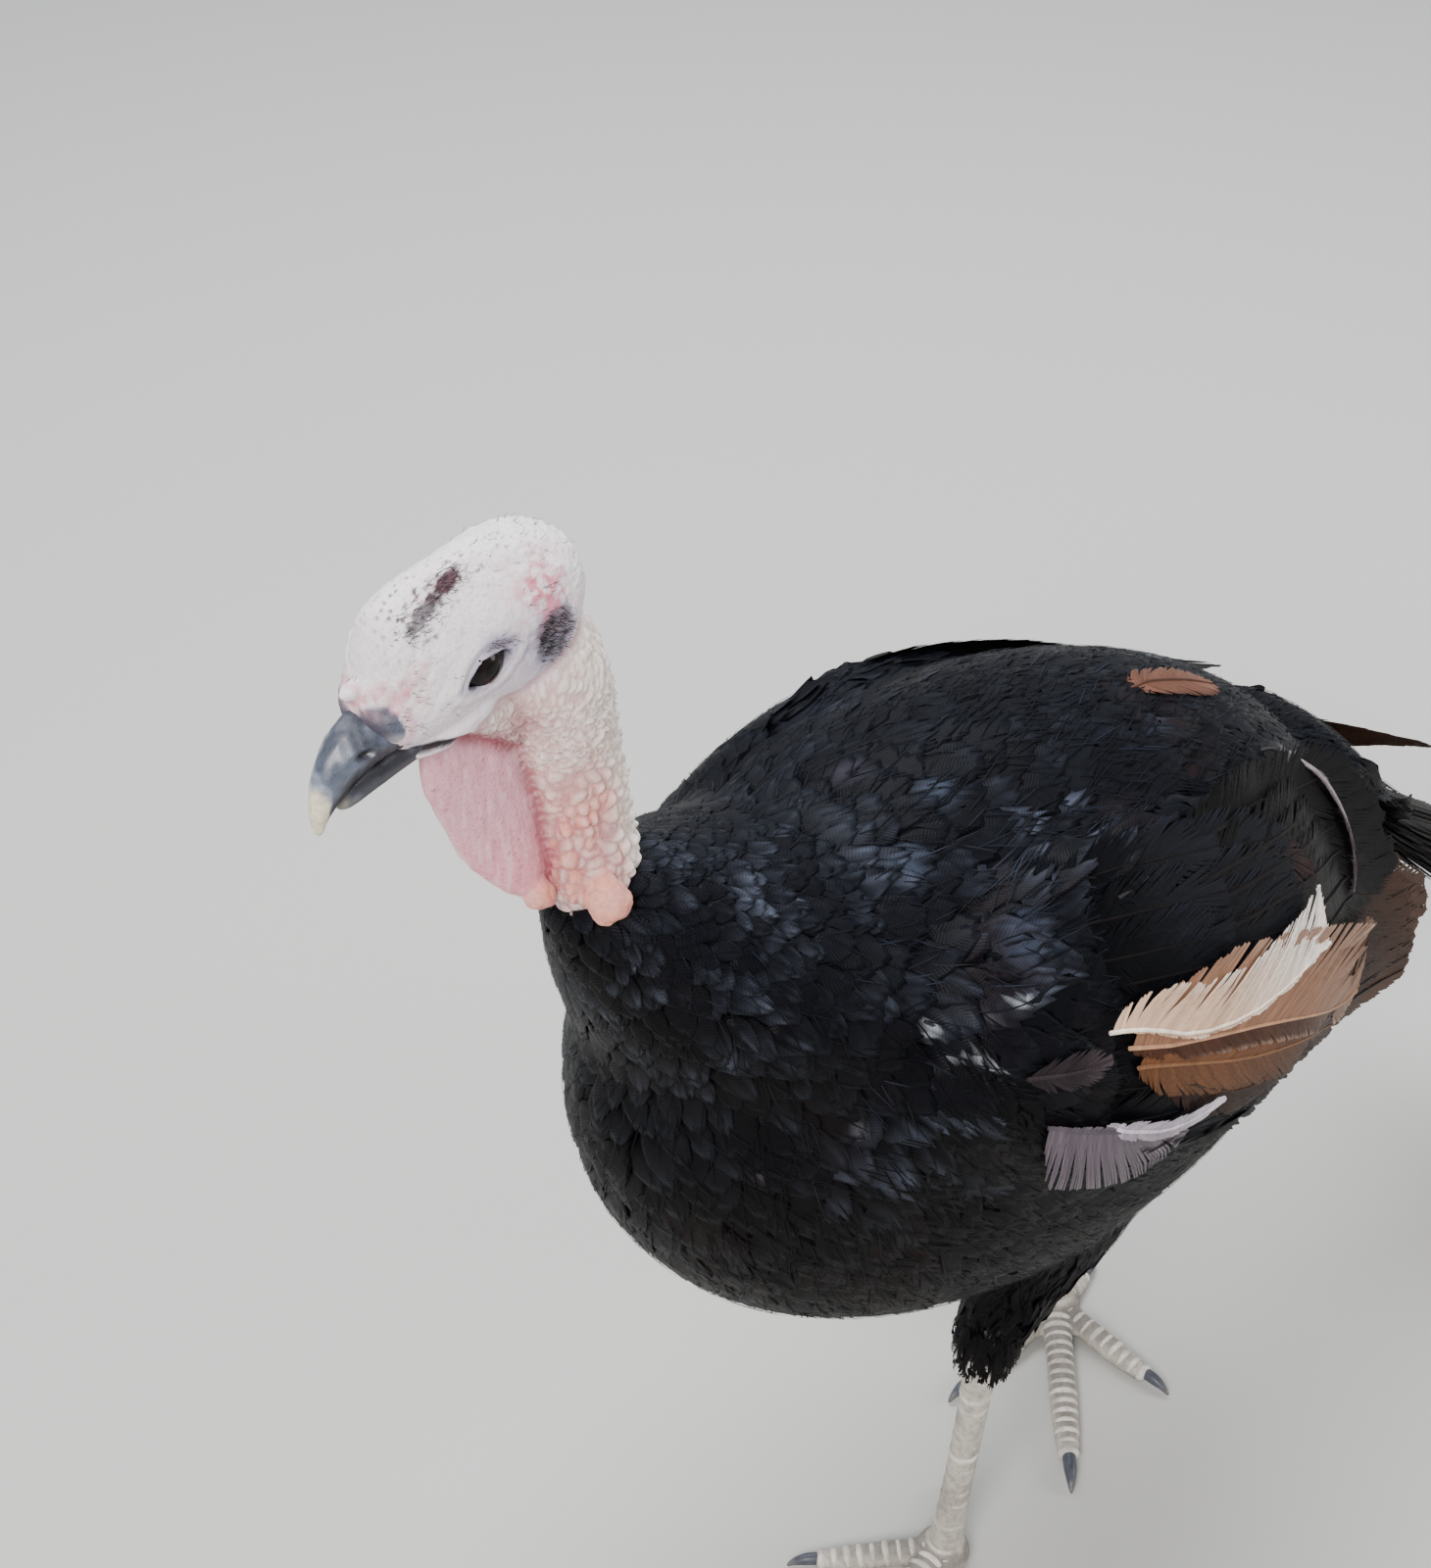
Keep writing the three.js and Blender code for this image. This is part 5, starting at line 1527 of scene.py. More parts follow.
def coatVanes(roots, spacing, seed, form):
    # one mesh of body feathers, each a thin curved vane lying on the next
    rng = np.random.default_rng(seed)
    count = len(roots)
    columns, rows = form["columns"], form["rows"]
    slim = eased(roots[:, 0], 140, 205)
    reach = spacing * form["length"] * (1 + 0.26 * rng.uniform(-1, 1, count)) * (1 - 0.2 * slim)
    left = coatShape["covertsReach"] - (roots - np.array(tailShape["root"])) @ tailBack
    reach = np.where(slim > 0, np.clip(reach, 8, np.maximum(left, 8)), reach)
    half = spacing * form["width"] * (1 + 0.22 * rng.uniform(-1, 1, count)) / 2 * (1 - 0.45 * slim)
    yaw = rng.normal(0, form["yaw"], count)
    lines, ups = walked(roots, reach, yaw)
    # a feather that would bend round the tail's tight rim is left out
    straight = (np.einsum("ij,ij->i", ups[:, 0], ups[:, -1]) > 0.6) | (roots[:, 0] < 110)
    roots, spacing, reach, half = roots[straight], spacing[straight], reach[straight], half[straight]
    lines, ups, count = lines[straight], ups[straight], straight.sum()
    c = np.linspace(-1, 1, columns + 1)
    jag = (np.arange(columns + 1) % 2) * form["fringe"] * rng.uniform(0.3, 1, (count, columns + 1))
    ends = (1 - form["rounding"] * np.abs(c) ** 2.2)[None] - jag
    row = np.linspace(0, 1, rows + 1) ** 0.62
    share = ends[:, None, :] * row[None, :, None]
    spread = (0.3 + 0.7 * np.sin(np.pi * np.clip(0.12 + 0.6 * share, 0, 1)) ** 0.8) * (1 - 0.25 * share ** 4)
    middle = readAlong(lines, share)
    up = unit(readAlong(ups, share))
    shaft = unit(np.gradient(lines, axis=1))
    ahead = unit(readAlong(shaft, share))
    across = unit(np.cross(ahead, up))
    up = np.cross(across, ahead)
    wide = (c[None, None] * half[:, None, None]) * spread
    twist = rng.normal(0, form["twist"], count)[:, None, None]
    rise = form["tip"] * spacing * (1 + 0.5 * rng.uniform(-1, 1, count))
    depth = form["root"] * spacing
    lift = (-depth[:, None, None] * (1 - share) ** 1.3 + rise[:, None, None] * share ** 2
            - form["camber"] * np.abs(wide) * np.abs(c)[None, None] + wide * np.tan(twist)
            + form["loose"] * rng.normal(0, 1, (count, 1, columns + 1)) * share ** 3)
    body = middle + across * wide[..., None] + up * lift[..., None]
    along = np.sin(np.pi * np.clip(0.08 + 0.9 * row, 0, 1))[None, :, None]
    thick = form["thick"] * (1 - np.abs(c)[None, None] ** 2) * along
    over = body + up * thick[..., None]
    under = (body - up * thick[..., None])[:, 1:-1, 1:-1]
    points = np.concatenate([over.reshape(count, -1, 3), under.reshape(count, -1, 3)], 1)
    inner = (slice(None), slice(1, -1), slice(1, -1))
    both = lambda values: np.concatenate([values.reshape(count, -1), values[inner].reshape(count, -1)], 1)
    sheet = np.broadcast_to(c[None, None], share.shape)
    shares, offs = both(share), both(np.ascontiguousarray(sheet))
    millimetres = np.stack([both(wide), both(share * reach[:, None, None])], -1)
    millimetres += rng.uniform(0, 400, (count, 1, 2)) * (0, 1)
    bake = unwrapped(roots)[:, None] + 0.003 * np.stack([offs * 0.5, shares - 0.5], -1)
    faces = manyOf(vaneGrid(columns, rows), count, points.shape[1])
    return {"points": points, "faces": faces, "shares": shares, "offs": offs, "vane": millimetres,
            "bake": bake, "ups": ups[:, 3], "roots": roots, "chance": rng.random((count, 4))}


# above and edgeAbove, the cool blue of feathers facing up, are painted sky reflection; below and edgeBelow,
# the brown of feathers facing down, are partly the feathers' own colour and partly painted shade
coatShades = {"above": shade(13, 13.5, 19), "below": shade(11, 7.5, 7), "edgeAbove": shade(38, 42, 56),
              "edgeBelow": shade(28, 22, 21), "paintedSheen": shade(96, 102, 118), "brown": shade(44, 28, 24)}
flecksAndHighlights = [    # single feathers and flecks that stand out, the white flecks in their own colour and the blue-grey feathers as painted highlights: place, reach, colour and strength
    ((48, -33, 387), 9, (62, 66, 78), 0.6), ((-11, -82, 386), 8, (72, 70, 82), 0.6),
    ((-71, 2, 411), 9, (56, 52, 64), 0.7), ((-56, -22, 410), 10, (66, 74, 90), 0.55),
    ((-84, -35, 404), 10, (68, 76, 92), 0.55), ((-72, -75, 390), 14, (76, 84, 102), 0.45),
    ((-31, 42, 398), 9, (52, 54, 66), 0.6), ((106, 11, 366), 5, (186, 194, 214), 0.9),
    ((-2, -50, 398), 8, (64, 66, 82), 0.5), ((22, -60, 390), 7, (60, 54, 62), 0.5),
    ((-108, -67, 369), 4.2, (226, 230, 238), 0.95), ((-103, -72, 361), 3.6, (226, 230, 238), 0.95),
    ((-104, -83, 363), 3.8, (232, 234, 240), 0.95), ((-98, -79, 376), 3.6, (214, 220, 230), 0.9),
    ((-99, -84, 359), 3.0, (232, 234, 240), 0.95), ((-84, -84, 377), 3.6, (214, 220, 230), 0.9),
    ((-137, -64, 344), 3.0, (170, 172, 182), 0.5), ((-165, -45, 331), 3.0, (150, 140, 150), 0.5),
    ((-39, -47, 146), 4.0, (206, 200, 196), 0.8), ((-36, -49, 130), 3.4, (214, 208, 204), 0.8),
]
# patches of painted sheen, a reflection of the sky on the feathers: place, reach and strength
paintedSheenSpots = [((-86, -52, 394), 44, 0.85), ((-124, -67, 357), 42, 0.75), ((-166, -24, 421), 34, 0.6),
              ((-123, -51, 397), 34, 0.45), ((-49, -38, 405), 34, 0.4), ((-33, 45, 398), 30, 0.3)]


def paintedSheenAt(points):
    # where the feathers carry a pale blue-grey painted sheen, a painted reflection of the sky: the lower neck
    # and round the front of the wing
    patchy = softNoise(points, 22, 102) + 0.6 * softNoise(points, 9, 103)
    neckward = faded(away(points, neckFoot), 40, 120)
    soft = np.max([most * hump(away(points, spot), 0, reach) for spot, reach, most in paintedSheenSpots], axis=0)
    upward = eased(points[:, 2], 290, 350)
    return np.clip((0.22 * neckward + soft + 0.06) * eased(patchy, -0.5, 0.7) * upward, 0, 1)


def coatTints(coat):
    # near black: feathers facing up take a cool blue that is painted sky reflection, their paler edges partly
    # their own and partly painted sheen; feathers facing down take a brown that is partly their own colour
    # and partly painted shade; more scalloped on the neck
    roots, points, shares, offs = (coat[key] for key in ("roots", "points", "shares", "offs"))
    chance = coat["chance"]
    neckward = faded(away(roots, neckFoot), 45, 150)
    upward = eased(coat["ups"][:, 2], -0.45, 0.65)[:, None]
    base = mixed(coatShades["below"], coatShades["above"], upward)
    brown = eased(softNoise(roots, 30, 104), 0.25, 0.8) * 0.35 * (1 - neckward)
    base = mixed(base, coatShades["brown"], (brown * chance[:, 3])[:, None]) * (0.72 + 0.55 * chance[:, :1])
    # the painted sheen, laid in streaks towards each feather's tip
    paintedSheen = paintedSheenAt(roots) * (0.35 + 0.9 * chance[:, 1])
    streak = softNoise(np.stack([offs * 4 + chance[:, :1] * 90, shares * 1.2, 0 * shares], -1), 0.5, 105)
    paintedSheenMask = np.clip(paintedSheen[:, None] * (0.55 + 0.8 * streak) * eased(shares, 0.35, 0.85), 0, 1)
    rim = eased(np.maximum(shares, 0.55 + 0.42 * np.abs(offs) ** 2 * eased(shares, 0.3, 0.7)), 0.84, 1.0)
    edge = mixed(coatShades["edgeBelow"], coatShades["edgeAbove"], upward)
    strength = (0.10 + 0.22 * chance[:, 2] ** 2 + 0.40 * neckward * chance[:, 0])[:, None]
    tints = base[:, None] * np.ones((1, points.shape[1], 1))
    tints = tints + (coatShades["paintedSheen"] - tints) * paintedSheenMask[..., None] * 0.8
    tints = tints + (edge[:, None] - tints) * (rim * strength * (0.7 + 0.5 * streak))[..., None]
    # white flecks, and painted highlights on single blue-grey feathers
    for spot, reach, colour, most in flecksAndHighlights:
        share = most * faded(away(points, spot) / reach, 0.3, 1.0) * np.clip(0.65 + 0.9 * streak, 0, 1)
        tints = layered(tints, (colour, share))
    return tints


def coatPiece(name, coat):
    piece = makePiece(name, coat["points"].reshape(-1, 3), coat["faces"], plumage,
                      coatTints(coat).reshape(-1, 3),
                      {"OFBake": coat["bake"].reshape(-1, 2), "vane": coat["vane"].reshape(-1, 2)})
    print(name, len(coat["roots"]), "feathers,", 2 * len(coat["faces"]), "triangles")
    return piece


bodyVane = {"columns": 10, "rows": 4, "length": 4.3, "width": 2.3, "yaw": 0.17, "twist": 0.015, "tip": 0.004,
            "root": 0.24, "camber": 0.03, "rounding": 0.42, "fringe": 0.20, "loose": 0.05, "thick": 0.07}
neckVane = dict(bodyVane, columns=8, length=3.3, width=2.0, tip=0.03, camber=0.08, fringe=0.12, thick=0.07)
coatRoots, coatGaps = scattered(7)
rim = np.abs(onReach(coatRoots)[1] @ tailUp) < mixed(0.5, 0.75, eased(coatRoots[:, 0], 190, 215))
rim &= coatRoots[:, 0] > 140
rim |= (coatRoots - np.array(tailShape["root"])) @ tailBack > coatShape["covertsReach"] - 16
coatRoots, coatGaps = coatRoots[~rim], coatGaps[~rim]
print(len(coatRoots), "body feathers placed")


# The long feathers of the wings and tail: a shaft with a comb of thin barbs on each side

def tubeFaces(ladder):
    # quads over rows of numbered points
    turn = np.roll(ladder, -1, axis=1)
    return np.stack([ladder[:-1], ladder[1:], turn[1:], turn[:-1]], -1).reshape(-1, 4)


def combFeather(middle, ups, form, paint, rng):
    # the middle line and the direction of the upper face, evenly spaced from root to tip
    ahead = unit(np.gradient(middle, axis=0))
    across = unit(np.cross(ahead, ups))
    up = np.cross(across, ahead)
    lean, tilt = math.cos(form.get("lean", 0.0)), math.sin(form.get("lean", 0.0))
    across, up = across * lean + up * tilt, up * lean - across * tilt
    reach = np.linalg.norm(np.diff(middle, axis=0), axis=1).sum()
    stations = np.stack([middle, across, up], 1)[None]

    def onFeather(x, y, z):
        flat = readAlong(stations.reshape(1, len(middle), 9), x[None] / reach)[0]
        spot, side, out = flat[..., 0:3], flat[..., 3:6], flat[..., 6:9]
        return spot + side * y[..., None] + out * z[..., None]

    points, tints, vane, bake = [], [], [], []
    count, start = form["barbs"], form.get("start", 0.1)
    pitch = reach * (1 - start) / count
    u = np.array([0, 0.34, 0.7, 1.0])
    widths = np.array([0.62, 0.66, 0.52, form.get("blunt", 0.1)])
    th = form["thick"] * np.array([1, 0.9, 0.7, 0.35])[None]
    for side, broad in zip((-1, 1), form["half"]):
        nearTip = lambda t: np.clip((t - form["taper"]) / max(1 - form["taper"], 1e-3), 0, 0.999)
        rounded = lambda t: np.sqrt(1 - nearTip(t) ** 2)
        profile = lambda t: broad * np.minimum(1, 0.3 + 2.4 * t) * rounded(t) * (0.6 + 0.4 * t ** 0.5)
        t = start + (1 - start) * (np.arange(count) + 0.5) / count * 0.985
        angle = np.radians(mixed(form.get("slant", 34), 16, t ** 2))
        end = np.minimum(t + profile(t) / np.tan(angle) / reach, 1.0 - 0.02 * rng.random(count))
        wide = profile(np.minimum(end, 0.995)) * (1 - form["ragged"] * rng.random(count) ** 3)
        wide = wide * (1 - 0.85 * hump(t, form.get("notch", -1), 0.03))
        # barbs that cling together in tufts
        tuft = np.floor((np.arange(count) + rng.normal(0, 0.6, count)) / form["clump"]).astype(int)
        tuft -= tuft.min()
        tufts = tuft.max() + 1
        pulls = rng.normal(0, form["parting"], tufts)[tuft]
        droops = rng.normal(0, form["flutter"], tufts)[tuft]
        means = np.array([end[tuft == k].mean() if (tuft == k).any() else 0 for k in range(tufts)])[tuft]
        end = mixed(end, means, 0.3) + pulls / reach
        x0, x1 = t * reach, end * reach
        x = x0[:, None] + (x1 - x0)[:, None] * u[None] ** 1.12
        y = 0.25 + (wide - 0.25)[:, None] * u[None] ** 0.92
        droops = droops[:, None] + rng.normal(0, 0.1, (count, 1))
        z = -form["camber"] * (y / broad) ** 2 * broad + droops * u ** 2
        x = np.minimum(x, reach)
        run, out = np.gradient(x, axis=1), np.gradient(y, axis=1)
        fat = pitch * widths[None] * (1 + 0.15 * rng.uniform(-1, 1, (count, 1)))
        dx, dy = -out / np.hypot(run, out) * fat, run / np.hypot(run, out) * fat
        ring = [(x + dx, y + dy, z), (x, y, z + th), (x - dx, y - dy, z), (x, y, z - th)]
        if side < 0:
            ring = [ring[0], ring[3], ring[2], ring[1]]
        points.append(np.stack([onFeather(a, side * b, c) for a, b, c in ring], 2).reshape(-1, 3))
        alongShare, outShare = x / reach, y / broad
        colour = paint(alongShare, outShare, side, rng.random(count)[:, None])
        roots = unwrapped(onFeather(x0, np.zeros(count), np.zeros(count)))
        patch = roots[:, None] + 0.003 * np.stack([side * outShare * 0.5, u[None] - 0.5 + 0 * x], -1)
        for rows, values in ((tints, colour), (vane, np.stack([side * y, x], -1)), (bake, patch)):
            rows.append(np.repeat(values[:, :, None], 4, axis=2).reshape(-1, values.shape[-1]))
    one = np.vstack([tubeFaces(np.arange(16).reshape(4, 4)), [[0, 1, 2, 3]], [[15, 14, 13, 12]]])
    faces = manyOf(one, 2 * count, 16)

    # the shaft
    far = np.linspace(0, 0.985, 12)
    thick = form["shaft"] * (1 - far) ** 0.75 + 0.12
    spin = np.arange(6) / 6 * 2 * np.pi
    x = np.repeat((far * reach)[:, None], 6, 1)
    tube = onFeather(x, np.cos(spin) * thick[:, None], np.sin(spin) * thick[:, None] + 0.35 * form["shaft"])
    ladder = 32 * count + np.arange(72).reshape(12, 6)
    caps = [*ladder[0, [[0, 1, 2, 3], [0, 3, 4, 5]]], *ladder[-1, [[3, 2, 1, 0], [5, 4, 3, 0]]]]
    points.append(tube.reshape(-1, 3))
    tints.append(np.tile(form["shaftTint"], (72, 1)))
    vane.append(np.stack([np.zeros(72), x.ravel()], -1))
    rootBake = np.repeat(unwrapped(onFeather(far * reach, 0 * far, 0 * far)), 6, axis=0)
    bake.append(rootBake + 0.003 * np.tile(np.stack([np.cos(spin), np.sin(spin)], -1) * 0.2, (12, 1)))
    return {"points": np.vstack(points), "faces": np.vstack([faces, tubeFaces(ladder), caps]),
            "tints": np.vstack(tints), "vane": np.vstack(vane), "bake": np.vstack(bake)}


def combPiece(name, feathers, replacing=()):
    points, faces = joined([(feather["points"], feather["faces"]) for feather in feathers])
    tints, vane, bake = (np.vstack([feather[key] for feather in feathers])
                         for key in ("tints", "vane", "bake"))
    piece = makePiece(name, points, faces, flightFinish, tints,
                      {"OFBake": bake, "vane": vane}, smooth=False)
    if replacing:
        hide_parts(*replacing)
    print(name, len(feathers), "long feathers,", 2 * len(faces), "triangles")


def darkPaint(base, edge, tipped, barred=0.0):
    # darker towards the root, paler at the rim and tip, and barred across where asked
    def paint(t, out, side, chance):
        bars = 0.5 + 0.5 * np.sin(t * 70 + out * 1.5)
        colour = layered(base * (0.75 + 0.5 * chance)[..., None] * np.ones((*t.shape, 1)),
                         (edge, 0.55 * eased(out, 0.55, 1.05)), (edge, tipped * eased(t, 0.72, 1.0)),
                         (edge * 1.2, barred * eased(bars, 0.4, 0.9)))
        return colour * mixed(0.35, 1.0, eased(t, 0.3, 0.7))[..., None]
    return paint


def laidOver(middle, lay):
    # a line lifted until it lies on the coat, the given height above it
    spots, normals = onReach(middle)
    height = np.einsum("ij,ij->i", middle - spots, normals)
    needed = np.maximum(lay - height, 0) * eased(-np.linalg.norm(middle - spots, axis=1), -30, -12)
    soft = np.convolve(np.pad(needed, 2, mode="edge"), [0.15, 0.2, 0.3, 0.2, 0.15], "valid")
    return middle + normals * soft[:, None], normals


shares = np.linspace(0, 1, 25)
sunk = -5.0 * faded(shares, 0.0, 0.2)
quillForm = {"barbs": 70, "half": (14, 14), "taper": 0.78, "ragged": 0.12, "clump": 6, "parting": 0.7,
             "flutter": 0.2, "camber": 0.08, "thick": 0.08, "shaft": 0.7, "shaftTint": shade(20, 16, 16)}
quillShades = {"primaries": shade(60, 40, 29), "secondaries": shade(13, 11, 12), "rim": shade(78, 54, 42),
               "tail": shade(20, 15, 14), "tailRim": shade(52, 38, 32)}
fans = {    # half holds the widths of the outer and the inner web, lay the height over the coat
    "primaries": {"count": 8, "barbs": 90, "half": (10, 15), "start": -0.2,
                  "lay": {"left": 0.9, "right": 0.9}},
    "secondaries": {"count": 11, "barbs": 110, "half": (17, 17), "start": -0.25,
                    "lay": {"left": 1.8, "right": -0.6}},
}
coverRows = ((0.31, 0.56, 2.4), (0.27, 0.45, 2.8))    # from, to and lay; the second on the left wing alone
for sideName, wing in wings.items():
    rng = np.random.default_rng(41 if wing["side"] < 0 else 42)
    down = -wing["side"]
    feathers = []
    for fan, quill in fans.items():
        for k in range(quill["count"]):
            across = (k + 0.5) / quill["count"]
            ends = mixed(quill["start"], 1.0 - 0.05 * rng.random(), shares)
            middle, ups = wingLine(wing, fan, across + rng.normal(0, 0.01), ends)
            middle, _ = laidOver(middle - ups * wing["hug"] * (1 - shares)[:, None],
                                 quill["lay"][sideName] * (1 - across) + 0.5 + sunk)
            form = dict(quillForm, barbs=quill["barbs"], half=quill["half"][::-down], lean=-down * 0.06,
                        shaft=1.2)
            base = quillShades[fan]
            rim = quillShades["rim"] if across > 0.45 or fan == "primaries" else base * 1.6
            paint = darkPaint(base * rng.uniform(0.75, 1.35), rim, 0.6)
            feathers.append(combFeather(middle, ups, form, paint, rng))
    combPiece(f"wing_{sideName}_quills", feathers, [f"wing_{sideName}_{fan}" for fan in reversed(fans)])

    # the greater coverts, which hide the roots of the quills
    coverts = []
    for row, (first, last, lay) in enumerate(coverRows[:1 if down < 0 else 2]):
        count = 11 - row
        for k in range(count):
            across = (k + 0.5) / count
            degrees = mixed(44 if down > 0 else 60, 99, across) + rng.normal(0, 0.8)
            spots = flank(mixed(first, last, shares) + 0.03 * across + rng.normal(0, 0.006),
                          degrees + 4 * shares * (0.5 - across), wing["side"], 2)
            middle, ups = laidOver(spots, (lay - 0.8 * across) * eased(shares, 0, 0.6) + 1.2 * sunk)
            form = dict(quillForm, barbs=60, half=(15, 15), taper=0.6, lean=-down * 0.05, shaft=0.4,
                        start=0.02, ragged=0.25, parting=1.2)
            # the coverts face up and take the coat's painted sky reflection
            paint = darkPaint(coatShades["above"] * rng.uniform(0.8, 1.3), coatShades["edgeAbove"], 0.1)
            coverts.append(combFeather(middle, ups, form, paint, rng))
    combPiece(f"wing_{sideName}_greater", coverts)

rng = np.random.default_rng(43)
tailFeathers = []
for k in sorted(range(14), key=lambda k: -abs(k - 6.5)):
    across = (k + 0.5) / 14
    middle, ups = tailLine(mixed(0.04, 0.96, across), mixed(-0.02, 1 - 0.012 * rng.random(), shares))
    place = 2 * across - 1
    middle = middle + ups * (2.4 * (1 - abs(place)) - 0.8)
    form = dict(quillForm, barbs=120, half=(22, 22), taper=0.84, lean=-0.06 * np.sign(place), shaft=1.2,
                clump=8)
    paint = darkPaint(quillShades["tail"], quillShades["tailRim"], 0.4, 0.12)
    tailFeathers.append(combFeather(middle, ups, form, paint, rng))
combPiece("tail_quills", tailFeathers, ["tail_left", "tail_centre", "tail_right"])


# The few pale and brown feathers of the left wing and the back, each laid along its own line

def ownPaint(base, tip, edge, lower, grain=0.16):
    def paint(t, out, side, chance):
        level = (1 + grain * (chance - 0.5) * 2)[..., None] * np.ones((*t.shape, 1))
        return layered((base if side < 0 else lower) * level, (tip * level, eased(t, 0.45, 1.0)),
                       (edge * level, 0.75 * eased(out, 0.6, 1.0)))
    return paint


# tints hold the upper web's root, the tip and the edge, and lower the lower web's root where it differs
ownForm = {"start": 0.02, "clump": 5, "shaft": 0.7, "taper": 0.4, "ragged": 0.15, "parting": 0.6}
ownFeathers = {
    "umber": {"path": [(-46, -109, 332), (-30.5, -112, 323.5), (0.7, -114.5, 301), (26.7, -113.2, 295),
                       (60, -107, 272)],
              "half": (10, 12), "lay": 3.2, "barbs": 90, "slant": 36, "taper": 0.7, "ragged": 0.1,
              "tints": ((52, 34, 28), (46, 31, 27), (64, 44, 38)), "lower": (44, 29, 24),
              "shaftTint": (60, 44, 36)},
    "rust": {"path": [(-52, -107, 341), (-41.7, -108.8, 337.5), (-1.8, -114.2, 317), (41.2, -111.8, 295),
                      (96.7, -96, 255)],
             "half": (10, 14), "lay": 4.0, "barbs": 130, "blunt": 0.42, "taper": 0.78, "ragged": 0.05,
             "parting": 0.4, "tints": ((108, 72, 49), (52, 34, 26), (76, 50, 37)), "lower": (96, 64, 44),
             "shaftTint": (132, 94, 68)},
    "tan": {"path": [(-54, -104, 349), (-40.7, -107.6, 344), (-1.7, -112.5, 329.5), (37.9, -112, 308.5),
                     (74, -104.5, 283), (105.9, -95, 260.5), (117, -93, 260)],
            "half": (36, 9), "lay": 4.8, "barbs": 150, "blunt": 0.42, "slant": 46, "taper": 0.86,
            "ragged": 0.04, "parting": 0.35, "tints": ((142, 104, 82), (142, 112, 95), (172, 142, 124)),
            "lower": (70, 44, 33), "shaftTint": (186, 142, 112)},
    "cream": {"path": [(-60, -100, 357), (-47.6, -102.8, 353.5), (-29, -107.8, 343), (0.1, -110.5, 334.5),
                       (32.7, -108.5, 329.8), (58, -103.5, 327.5)],
              "half": (20, 2), "lay": 5.8, "barbs": 130, "blunt": 0.42, "slant": 42, "taper": 1.0,
              "ragged": 0.12, "parting": 0.7, "flutter": 0.35, "clump": 7, "notch": 0.8,
              "tints": ((206, 172, 146), (243, 234, 226), (244, 234, 226)), "lower": (196, 160, 134),
              "shaftTint": (248, 232, 214)},
    "lilac": {"path": [(-86, -98.5, 332.5), (-79.8, -101.5, 330), (-66.7, -105.7, 323.5),
                       (-49.9, -109.7, 313.7), (-34.4, -112, 305), (-28, -113, 301)],
              "half": (2, 31), "lay": 3.4, "barbs": 84, "blunt": 0.42, "slant": 66, "taper": 0.25,
              "ragged": 0.02, "parting": 0.12, "flutter": 0.05, "camber": 0.2,
              "tints": ((96, 87, 94), (112, 103, 110), (128, 119, 126)), "shaftTint": (84, 76, 84)},
    "frost": {"path": [(-64, -106, 322.5), (-58.7, -107.6, 320.5), (-40.8, -111, 311), (-24.4, -113.4, 308),
                       (-12, -114.2, 307.6)],
              "half": (4.5, 5), "lay": 4.8, "barbs": 40, "ragged": 0.2, "parting": 0.8, "flutter": 0.3,
              "tints": ((166, 156, 168), (204, 196, 204), (176, 166, 176)), "lower": (150, 138, 148),
              "shaftTint": (200, 192, 200)},
    "russet": {"path": [(54, -15, 389), (66, -15.5, 387), (85, -16, 378.5), (98, -17, 371.5),
                        (107, -18, 366)],
               "half": (10.5, 10), "lay": 0.9, "barbs": 60, "taper": 0.5, "ragged": 0.05, "parting": 0.2,
               "flutter": 0.08, "tints": ((100, 67, 54), (117, 82, 68), (127, 94, 82)),
               "shaftTint": (86, 57, 47)},
    "streak": {"path": [(102, -56, 357), (107, -66, 351), (110, -73, 342), (111.5, -79, 331.5),
                        (111, -85, 317.5), (106, -89, 308)],
               "half": (4.5, 3), "lay": 2.6, "barbs": 44, "slant": 26, "taper": 0.5, "ragged": 0.2,
               "tints": ((96, 90, 96), (124, 108, 112), (116, 104, 108)), "lower": (92, 80, 82),
               "shaftTint": (140, 130, 134)},
    "grey": {"path": [(92, -43, 354), (106, -46, 349), (120, -49, 344)], "half": (5, 5), "lay": 1.6,
             "barbs": 30, "slant": 32, "ragged": 0.2, "tints": ((36, 34, 36), (112, 110, 112), (70, 66, 70)),
             "shaftTint": (60, 56, 60)},
    "dusk": {"path": [(-92, -93, 354), (-73, -99.7, 349), (-60, -102.2, 347.5)], "half": (8, 8), "lay": 1.2,
             "barbs": 36, "tints": ((40, 34, 36), (70, 60, 64), (62, 54, 58)), "shaftTint": (50, 42, 44)},
    "smoke": {"path": [(-38, -82.5, 389), (-24, -83, 389), (-7, -81, 389.5)], "half": (7, 7), "lay": 1.0,
              "barbs": 34, "tints": ((26, 25, 29), (60, 56, 62), (50, 47, 53)), "shaftTint": (44, 40, 46)},
    "wine": {"path": [(30, -88, 367), (46, -89.5, 362), (62, -95, 349)], "half": (11, 11), "lay": 1.6,
             "barbs": 44, "slant": 36, "taper": 0.5, "tints": ((30, 22, 23), (50, 34, 34), (44, 31, 31)),
             "shaftTint": (48, 36, 36)},
}
rng = np.random.default_rng(51)
own = []
for feather in ownFeathers.values():
    middle, ups = laidOver(curveAt(feather["path"], shares), feather["lay"] + 1.3 * sunk)
    form = {**quillForm, **ownForm, **feather, "shaftTint": shade(*feather["shaftTint"])}
    lower = feather.get("lower", feather["tints"][0])
    paint = ownPaint(*[shade(*tone) for tone in (*feather["tints"], lower)])
    own.append(combFeather(middle, ups, form, paint, rng))
combPiece("wing_left_pale", own)


# Ragged cuffs of small feathers at the hocks

